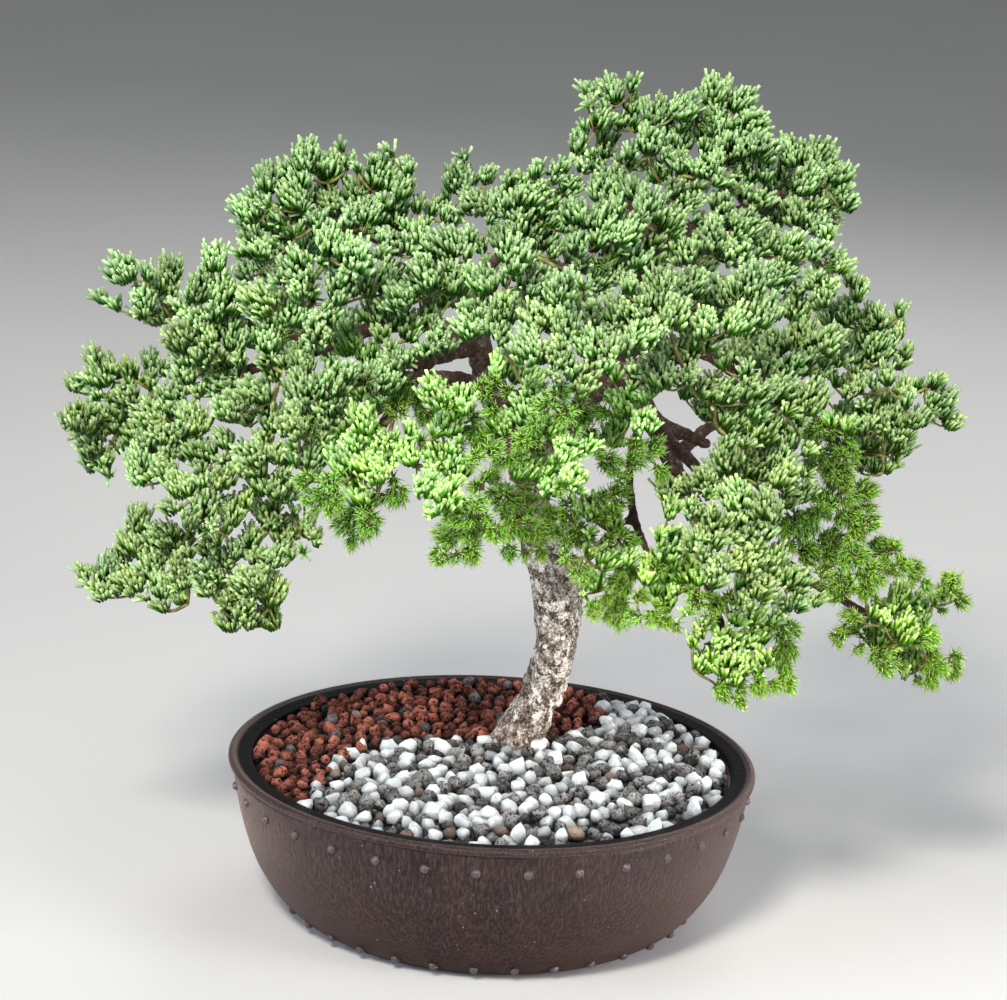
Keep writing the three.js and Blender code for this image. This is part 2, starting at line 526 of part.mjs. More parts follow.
// Wood: tapered limbs along smooth courses, joined to one solid
function taperedTube(stations, sides, knots = 0) {
  const course = stations.map(([x, y, z]) => new THREE.Vector3(x, y, z));
  const points = [];
  const faces = [];
  let across = null;
  course.forEach((centre, i) => {
    const before = course[Math.max(i - 1, 0)];
    const after = course[Math.min(i + 1, course.length - 1)];
    const along = after.clone().sub(before).normalize();
    if (!across) across = Math.abs(along.z) > 0.9 ? new THREE.Vector3(1, 0, 0) : new THREE.Vector3(0, 0, 1);
    across = across.clone().sub(along.clone().multiplyScalar(across.dot(along))).normalize();
    const up = along.clone().cross(across);
    for (let k = 0; k < sides; k += 1) {
      const angle = (k * 2 * Math.PI) / sides;
      const waves = Math.sin(3 * angle + centre.z / 8) + 0.7 * Math.sin(5 * angle - centre.z / 5);
      const radius = stations[i][3] * (1 + knots * waves);
      const offset = across.clone().multiplyScalar(Math.cos(angle)).addScaledVector(up, Math.sin(angle));
      points.push(centre.clone().addScaledVector(offset, radius));
    }
  });
  const rings = course.length;
  for (let i = 0; i + 1 < rings; i += 1) {
    for (let k = 0; k < sides; k += 1) {
      const next = (k + 1) % sides;
      const [a, b] = [i * sides + k, i * sides + next];
      faces.push([a, b, b + sides], [a, b + sides, a + sides]);
    }
  }
  for (let k = 1; k + 1 < sides; k += 1) {
    const last = (rings - 1) * sides;
    faces.push([0, k + 1, k], [last, last + k, last + k + 1]);
  }
  return indexedGeometry(points, faces);
}

// The straight stretches of all wood, each with its greater radius, for keeping foliage clear
function stretches(stations) {
  return stations.slice(1).map((end, i) => ({
    from: new THREE.Vector3(...stations[i].slice(0, 3)),
    to: new THREE.Vector3(...end.slice(0, 3)),
    radius: Math.max(stations[i][3], end[3]) * KNOT_ALLOWANCE,
  }));
}

function woodSolid(twigs) {
  let body = solid(taperedTube(TRUNK, 8, 0.05));
  for (const limb of LIMBS) body = body.add(solid(taperedTube(limb, 4)));
  for (const twig of twigs) body = body.add(solid(taperedTube(twig, 3)));
  return largest(body.simplify(WOOD_TOLERANCE));
}

// Distance between two straight stretches
function stretchGap(p, q, r, s) {
  const [d1, d2, w] = [q.clone().sub(p), s.clone().sub(r), p.clone().sub(r)];
  const [a, e, f] = [d1.lengthSq(), d2.lengthSq(), d2.dot(w)];
  if (a < 1e-9 && e < 1e-9) return w.length();
  let [t, u] = [0, 0];
  const clamp = THREE.MathUtils.clamp;
  if (a < 1e-9) u = clamp(f / e, 0, 1);
  else {
    const c = d1.dot(w);
    if (e < 1e-9) t = clamp(-c / a, 0, 1);
    else {
      const b = d1.dot(d2);
      const crossing = a * e - b * b;
      t = crossing > 1e-9 ? clamp((b * f - c * e) / crossing, 0, 1) : 0;
      u = (b * t + f) / e;
      if (u < 0 || u > 1) {
        u = clamp(u, 0, 1);
        t = clamp((b * u - c) / a, 0, 1);
      }
    }
  }
  return p.clone().addScaledVector(d1, t).distanceTo(r.clone().addScaledVector(d2, u));
}

// A point seen square on at (across, up), moved back along the line of sight
function place(across, up, behind) {
  const stretch = (behind + EYE.back) / EYE.back;
  return new THREE.Vector3(across * stretch, behind, EYE.up + (up - EYE.up) * stretch);
}

// Tufts: a centre, a core radius and an outer radius each
function placedTufts(wood) {
  const random = seeded(7);
  const tufts = BOUGHS.flatMap((spray, index) => spray.tufts.map(([across, up, radius]) => ({
    bough: index,
    across,
    up,
    behind: spray.behind + (random() * 2 - 1) * STAGGER,
    radius,
    core: THREE.MathUtils.clamp(radius * CORE_SHARE, CORE_MIN, CORE_MAX),
  })));
  for (const tuft of tufts) tuft.centre = place(tuft.across, tuft.up, tuft.behind);
  for (let round = 0; round < SPREAD_ROUNDS; round += 1) spreadTufts(tufts, wood);
  return tufts;
}

function spreadTufts(tufts, wood) {
  const push = (tuft, amount) => {
    tuft.behind += amount;
    tuft.centre = place(tuft.across, tuft.up, tuft.behind);
  };
  for (let i = 0; i < tufts.length; i += 1) {
    for (let j = i + 1; j < tufts.length; j += 1) {
      const short = TUFT_SPACING - tufts[i].centre.distanceTo(tufts[j].centre);
      if (short > 0) {
        const side = tufts[i].behind <= tufts[j].behind ? -1 : 1;
        push(tufts[i], side * short * 0.5);
        push(tufts[j], -side * short * 0.5);
      }
    }
    for (const { from, to, radius } of wood) {
      const short = radius + tufts[i].core + 4 - stretchGap(tufts[i].centre, tufts[i].centre, from, to);
      if (short > 0) {
        const line = to.clone().sub(from);
        const along = tufts[i].centre.clone().sub(from).dot(line) / line.lengthSq();
        const near = from.clone().addScaledVector(line, THREE.MathUtils.clamp(along, 0, 1));
        push(tufts[i], tufts[i].centre.y <= near.y ? -short : short);
      }
    }
  }
}

// Joins: which tufts of a bough are linked by a stem, and where its twig meets the wood
const OCTANTS = [
  [1, 1, 1], [-1, -1, -1], [1, 1, -1], [1, -1, 1], [-1, 1, 1], [1, -1, -1], [-1, 1, -1], [-1, -1, 1],
];
const FACE_LIFT = 1 / Math.sqrt(3);
const FACE_REACH = Math.sqrt(2 / 3);

function stemRadius(a, b) {
  return Math.max(a.core, b.core) * FACE_REACH;
}

// The core's turn that puts one face towards the first direction and each other one on a face of its own
function turnFor(directions) {
  const faceNormal = new THREE.Vector3(1, 1, 1).normalize();
  const start = new THREE.Quaternion().setFromUnitVectors(faceNormal, directions[0]);
  let best = null;
  for (let step = 0; step < 24; step += 1) {
    const roll = new THREE.Quaternion().setFromAxisAngle(directions[0], (step * Math.PI) / 36);
    const turn = roll.multiply(start);
    const back = turn.clone().invert();
    const taken = new Set();
    let worst = 1;
    for (const direction of directions) {
      const local = direction.clone().applyQuaternion(back);
      taken.add(`${local.x > 0},${local.y > 0},${local.z > 0}`);
      worst = Math.min(worst, Math.abs(local.x), Math.abs(local.y), Math.abs(local.z));
    }
    const fits = taken.size === directions.length && worst > LEAST_FACE_COSINE;
    if (fits && (!best || worst > best.worst)) best = { turn, worst };
  }
  return best && best.turn;
}

function twigFor(tuft, stretch) {
  const line = stretch.to.clone().sub(stretch.from);
  const along = tuft.centre.clone().sub(stretch.from).dot(line) / line.lengthSq();
  const from = stretch.from.clone().addScaledVector(line, THREE.MathUtils.clamp(along, 0, 1));
  const outward = from.clone().sub(tuft.centre).normalize();
  const to = tuft.centre.clone().addScaledVector(outward, tuft.core * FACE_LIFT + STEM_LENGTH + CLEARANCE);
  return { from, to, radius: TWIG_RADIUS, outward, length: from.distanceTo(to), tuft };
}

function hangBoughs(tufts, wood) {
  return BOUGHS.map((_, index) => {
    const own = tufts.filter((tuft) => tuft.bough === index);
    const choices = own.flatMap((tuft) => wood.map((stretch) => twigFor(tuft, stretch)));
    choices.sort((a, b) => a.length - b.length);
    const clear = (twig) => tufts.every((other) => other === twig.tuft
      || stretchGap(other.centre, other.centre, twig.from, twig.to) > other.core + TWIG_RADIUS + 0.5);
    return choices.find(clear);
  });
}

function linkIsClear(a, b, tufts, wood, twigs, links) {
  const reach = stemRadius(a, b);
  const apart = (from, to) => stretchGap(a.centre, b.centre, from, to);
  return tufts.every((k) => k === a || k === b || apart(k.centre, k.centre) > k.core + reach + 0.4)
    && wood.every((w) => apart(w.from, w.to) > w.radius + reach + 0.4)
    && twigs.every((t) => t.tuft === a || apart(t.from, t.to) > t.radius + reach + 0.4)
    && links.every((l) => l.a === a || l.b === a || apart(l.a.centre, l.b.centre) > reach + l.reach + 0.4);
}

function growLinks(tufts, wood, twigs) {
  const links = [];
  twigs.forEach((twig, index) => {
    const own = tufts.filter((tuft) => tuft.bough === index);
    twig.tuft.directions = [twig.outward];
    const joined = [twig.tuft];
    const pairs = own.flatMap((a) => own.filter((b) => b !== a).map((b) => ({ a, b })));
    const span = ({ a, b }) => a.centre.distanceTo(b.centre);
    pairs.sort((p, q) => span(p) - span(q));
    for (;;) {
      const found = pairs.find(({ a, b }) => {
        if (!joined.includes(a) || joined.includes(b)) return false;
        const towards = b.centre.clone().sub(a.centre).normalize();
        return turnFor([...a.directions, towards]) && linkIsClear(a, b, tufts, wood, twigs, links);
      });
      if (!found) break;
      const { a, b } = found;
      const towards = b.centre.clone().sub(a.centre).normalize();
      a.directions.push(towards);
      b.directions = [towards.clone().negate()];
      joined.push(b);
      links.push({ a, b, reach: stemRadius(a, b) });
    }
  });
  return links;
}

// Foliage: each tuft is a slim eight-faced core, and each free face carries one three-sided needle
function coreOf(tuft) {
  const turn = turnFor(tuft.directions);
  const axes = [[1, 0, 0], [0, 1, 0], [0, 0, 1]]
    .map((axis) => new THREE.Vector3(...axis).applyQuaternion(turn));
  const corner = (axis, sign) => tuft.centre.clone().addScaledVector(axis, sign * tuft.core);
  const corners = axes.flatMap((axis) => [corner(axis, 1), corner(axis, -1)]);
  const faces = OCTANTS.map((signs) => {
    const ring = signs.map((sign, k) => 2 * k + (sign > 0 ? 0 : 1));
    const normal = new THREE.Vector3();
    axes.forEach((axis, k) => normal.addScaledVector(axis, signs[k] * FACE_LIFT));
    return { ring: signs[0] * signs[1] * signs[2] > 0 ? ring : [ring[0], ring[2], ring[1]], normal, signs };
  });
  return { axes, corners, faces };
}

function faceTowards(core, direction) {
  return core.faces.find((face) => face.signs.every((sign, k) => core.axes[k].dot(direction) * sign > 0));
}

// A needle's tip: outwards from its face, drawn towards the light, and short enough to clear its neighbours
function needleTip(tuft, core, face, surroundings, random) {
  const lean = new THREE.Vector3(tuft.centre.x / 400, tuft.centre.y / 400, 0.8).normalize();
  const length = tuft.radius * (0.95 + 0.2 * random());
  for (const pull of [0.5, 0.25, 0]) {
    const direction = face.normal.clone().addScaledVector(lean, pull).normalize();
    const inside = face.signs.every((sign, k) => core.axes[k].dot(direction) * sign > 0.2);
    for (let share = 1; inside && share > 0.45; share -= 0.13) {
      const tip = tuft.centre.clone().addScaledVector(direction, length * share);
      if (needleIsClear(tuft, core, face, tip, surroundings)) return tip;
    }
  }
  return null;
}

function needleIsClear(tuft, core, face, tip, { tufts, wood, twigs, links }) {
  const root = tuft.centre.clone().addScaledVector(face.normal, tuft.core * FACE_LIFT);
  const width = tuft.core * FACE_REACH;
  const clearOf = (from, to, radius) => [0.3, 0.65, 1].every((share) => {
    const spot = root.clone().lerp(tip, share);
    return stretchGap(spot, spot, from, to) > radius + width * (1 - share) + 0.5;
  });
  const direction = tip.clone().sub(tuft.centre).normalize();
  return tuft.directions.every((other) => other.dot(direction) < NEEDLE_COSINE) && tufts.every((other) => {
    if (other === tuft) return true;
    const line = other.centre.clone().sub(tuft.centre);
    const far = line.length();
    return far > NEIGHBOUR_REACH || tip.clone().sub(tuft.centre).dot(line) / far < far / 2 - 0.3;
  })
    && wood.every((w) => clearOf(w.from, w.to, w.radius))
    && twigs.every((t) => (t.tuft === tuft ? true : clearOf(t.from, t.tuft.centre, t.radius + 1)))
    && links.every((l) => l.a === tuft || l.b === tuft || clearOf(l.a.centre, l.b.centre, l.reach));
}

function boughGeometry(index, surroundings) {
  const random = seeded(100 + index);
  const own = surroundings.tufts.filter((tuft) => tuft.bough === index && tuft.directions);
  const links = surroundings.links.filter((link) => link.a.bough === index);
  const points = [];
  const triangles = [];
  for (const tuft of own) {
    tuft.shape = coreOf(tuft);
    tuft.first = points.length;
    tuft.open = new Set();
    points.push(...tuft.shape.corners);
  }
  const ringOf = (tuft, face) => face.ring.map((corner) => tuft.first + corner);
  const take = (tuft, direction) => {
    const face = faceTowards(tuft.shape, direction);
    tuft.open.add(face);
    return ringOf(tuft, face);
  };
  for (const { a, b } of links) {
    const towards = b.centre.clone().sub(a.centre).normalize();
    const near = take(a, towards);
    const [d, e, f] = take(b, towards.negate());
    triangles.push(...bridge(points, near, [d, f, e]));
  }
  const twig = surroundings.twigs[index];
  triangles.push(...rootStem(points, take(twig.tuft, twig.outward), twig));
  for (const tuft of own) {
    for (const face of tuft.shape.faces) {
      if (tuft.open.has(face)) continue;
      const [a, b, c] = ringOf(tuft, face);
      const tip = needleTip(tuft, tuft.shape, face, surroundings, random);
      if (!tip) triangles.push([a, b, c]);
      else {
        const t = points.push(tip) - 1;
        triangles.push([a, b, t], [b, c, t], [c, a, t]);
      }
    }
  }
  return indexedGeometry(points, triangles);
}

// A three-sided stem between two open faces, with the least twist
function bridge(points, near, far) {
  const gap = (from, to) => points[from].distanceToSquared(points[to]);
  const cost = (shift) => near.reduce((sum, p, k) => sum + gap(p, far[(k + shift) % 3]), 0);
  const shift = [0, 1, 2].reduce((best, s) => (cost(s) < cost(best) ? s : best));
  return near.flatMap((a, k) => {
    const b = near[(k + 1) % 3];
    const [c, d] = [far[(k + 1 + shift) % 3], far[(k + shift) % 3]];
    const straight = points[a].distanceTo(points[c]) < points[b].distanceTo(points[d]);
    return straight ? [[a, b, c], [a, c, d]] : [[a, b, d], [b, c, d]];
  });
}

// The short stem that meets the twig's end face to face
function rootStem(points, ring, { tuft, outward }) {
  const end = tuft.centre.clone().addScaledVector(outward, tuft.core * FACE_LIFT + STEM_LENGTH);
  const middle = tuft.centre.clone().addScaledVector(outward, tuft.core * FACE_LIFT);
  const tips = ring.map((corner) => {
    const offset = points[corner].clone().sub(middle).multiplyScalar(0.55);
    return points.push(end.clone().add(offset)) - 1;
  });
  const sides = ring.flatMap((a, k) => {
    const next = (k + 1) % 3;
    return [[a, ring[next], tips[next]], [a, tips[next], tips[k]]];
  });
  return [...sides, tips];
}

// Assembly
function assemble() {
  const limbs = [TRUNK.slice(1), ...LIMBS].flatMap(stretches);
  const tufts = placedTufts(limbs);
  const twigs = hangBoughs(tufts, limbs.filter((stretch) => stretch.from.z > 200));
  const links = growLinks(tufts, limbs, twigs);
  const surroundings = { tufts, wood: limbs, twigs, links };
  const group = new THREE.Group();
  group.add(namedMesh('pot', geometryOf(potSolid()), CLAY));
  drainCentres().forEach(([x, y], k) => {
    group.add(namedMesh(`drain_screen_${k + 1}`, geometryOf(screenSolid(x, y)), SCREEN));
  });
  group.add(namedMesh('soil', geometryOf(soilSolid()), SOIL));
  const { lava, pumice } = bedSolids();
  group.add(namedMesh('red_lava_stones', geometryOf(lava), RED_LAVA));
  group.add(namedMesh('pumice_and_grey_lava', geometryOf(pumice), PUMICE));
  const twigCourses = twigs.map(({ from, to }) => [
    [...from.toArray(), TWIG_RADIUS * 1.2], [...to.toArray(), TWIG_RADIUS * 0.8],
  ]);
  group.add(namedMesh('wood', geometryOf(woodSolid(twigCourses)), BARK));
  BOUGHS.forEach((spray, index) => {
    group.add(namedMesh(`foliage_${spray.name}`, boughGeometry(index, surroundings), spray.finish));
  });
  return group;
}

export default assemble();
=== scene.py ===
"""A procumbens nana juniper bonsai in a round nail-head training pot, dressed round its CAD frame.

Sizes in the classes are in millimetres. A mesh is turned to metres when it is made, in the frame's
own axes: +Z up, the viewed side towards -Y, and the origin under the middle of the pot.
"""

from __future__ import annotations

import json
import logging
import math
from collections.abc import Callable, Iterable, Sequence
from dataclasses import dataclass, field
from enum import Enum

import bmesh
import bpy
import numpy as np
from bpy.types import Collection, Material, Mesh, Node, NodeSocket, NodeTree, Object
from mathutils import Matrix, Vector, noise

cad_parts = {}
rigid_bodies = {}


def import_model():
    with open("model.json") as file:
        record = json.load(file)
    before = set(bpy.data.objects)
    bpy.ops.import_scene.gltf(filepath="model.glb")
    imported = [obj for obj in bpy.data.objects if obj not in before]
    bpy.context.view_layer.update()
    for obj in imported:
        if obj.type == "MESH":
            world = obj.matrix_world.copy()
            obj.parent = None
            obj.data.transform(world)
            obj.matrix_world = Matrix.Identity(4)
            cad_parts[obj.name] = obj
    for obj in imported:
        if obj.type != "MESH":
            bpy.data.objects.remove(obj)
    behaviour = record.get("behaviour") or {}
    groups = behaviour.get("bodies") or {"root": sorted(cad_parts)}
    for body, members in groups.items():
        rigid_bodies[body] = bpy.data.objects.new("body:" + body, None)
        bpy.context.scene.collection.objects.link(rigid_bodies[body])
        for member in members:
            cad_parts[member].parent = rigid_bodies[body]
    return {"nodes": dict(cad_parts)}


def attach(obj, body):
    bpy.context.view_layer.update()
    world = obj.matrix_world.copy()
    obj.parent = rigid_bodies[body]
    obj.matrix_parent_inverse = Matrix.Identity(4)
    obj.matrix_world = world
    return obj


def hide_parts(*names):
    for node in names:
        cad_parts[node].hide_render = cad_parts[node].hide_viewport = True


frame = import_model()

LOG = logging.getLogger("bonsai")
METRE = 0.001
BODY = "root"

# The trunk's course and the limbs' courses, as in the part's source: across, back, up and radius
TRUNK = (
    (13, 20, 50, 14), (13, 20, 84, 16.5), (15, 19, 98, 15), (24, 17, 120, 12.6),
    (32, 14, 146, 12.2), (35, 11, 173, 13.4), (30, 9, 195, 12.8), (23, 8, 212, 12.2),
    (17, 9, 236, 11), (12, 12, 262, 10.4), (0, 14, 288, 9.6), (-14, 14, 312, 8.6),
    (-22, 12, 338, 7.6), (-24, 12, 362, 6.4),
)
LIMBS = (
    ((14, 11, 252, 8.6), (32, 7, 284, 8), (48, 1, 312, 7.4), (62, -4, 322, 6.8), (77, -8, 301, 6.2),
     (90, -10, 277, 6), (104, -12, 255, 5.4), (122, -20, 240, 4.6), (152, -30, 226, 4),
     (188, -30, 206, 3.2), (222, -18, 186, 2.6)),
    ((52, 0, 314, 6.4), (62, 10, 350, 5.8), (71, 18, 385, 5.4), (84, 20, 412, 4.8), (96, 17, 436, 3.8)),
    ((74, 19, 392, 3.6), (62, 28, 412, 3), (57, 30, 423, 2.6)),
    ((72, 18, 388, 4.6), (98, 16, 402, 4.4), (124, 15, 414, 3.8), (148, 18, 426, 3)),
    ((62, -4, 322, 5), (88, -10, 338, 4.6), (108, -12, 338, 4.2), (128, -13, 326, 3.8),
     (150, -22, 332, 3.4), (180, -12, 338, 3)),
    ((128, -13, 326, 3.4), (158, -22, 312, 3.2), (186, -26, 300, 3), (212, -12, 306, 2.4)),
    ((78, -8, 300, 4.6), (98, -6, 290, 4.2), (114, -8, 284, 3.4)),
    ((-20, 12, 332, 6), (-46, 5, 342, 5.6), (-76, 0, 340, 5), (-106, -8, 330, 4.4),
     (-140, -14, 318, 3.8), (-174, -12, 304, 3.2), (-204, -10, 292, 2.6)),
    ((-24, 12, 358, 5.2), (-46, 10, 378, 4.8), (-76, 8, 390, 4.4), (-104, 4, 398, 3.8),
     (-122, 2, 398, 3)),
    ((-106, -8, 330, 3.6), (-138, -20, 342, 3.2), (-168, -24, 348, 2.8), (-196, -14, 352, 2.4)),
    ((-10, 14, 306, 4.8), (-46, 8, 302, 4.4), (-88, -2, 288, 4), (-124, -16, 262, 3.4),
     (-156, -24, 226, 3), (-184, -20, 204, 2.6)),
    ((-23, 12, 356, 4), (-14, 4, 380, 3.6), (0, -6, 394, 3)),
    ((2, 13, 285, 5), (0, -36, 300, 4.6), (2, -76, 318, 4), (8, -104, 334, 3.2)),
    ((-20, 12, 330, 4.8), (-44, -28, 330, 4.4), (-72, -62, 330, 3.8), (-100, -82, 316, 3.2)),
    ((0, -40, 301, 3.8), (-16, -78, 292, 3.4), (-28, -106, 282, 2.6)),
    ((44, 2, 306, 5), (58, -40, 322, 4.6), (76, -76, 338, 3.8), (94, -96, 342, 3)),
    ((80, -8, 298, 4.4), (100, -44, 284, 4), (122, -72, 270, 3.4), (136, -84, 254, 2.8)),
    ((76, -8, 303, 3.4), (68, -30, 276, 3), (73, -44, 248, 2.8), (80, -62, 234, 2.4)),
    ((72, -43, 250, 2.4), (60, -46, 242, 2.2), (52, -46, 232, 2)),
    ((104, -12, 256, 4), (110, -48, 232, 3.6), (118, -66, 208, 3), (126, -72, 188, 2.6)),
    ((-44, -28, 330, 3.6), (-70, -74, 300, 3.2), (-84, -96, 282, 2.6)),
    ((-14, 14, 314, 5), (-26, 56, 336, 4.4), (-48, 78, 352, 3.6), (-80, 84, 366, 2.8)),
    ((-6, 14, 300, 4.6), (-34, 62, 300, 4), (-72, 84, 292, 3.2), (-104, 78, 284, 2.6)),
    ((48, 1, 312, 5), (44, 48, 336, 4.4), (30, 86, 352, 3.4), (14, 104, 352, 2.8)),
    ((58, 0, 322, 5), (78, 46, 340, 4.2), (94, 82, 348, 3.4), (112, 92, 350, 2.8)),
    ((92, -10, 274, 4.6), (110, 36, 280, 4), (130, 68, 284, 3.2), (146, 76, 284, 2.6)),
)

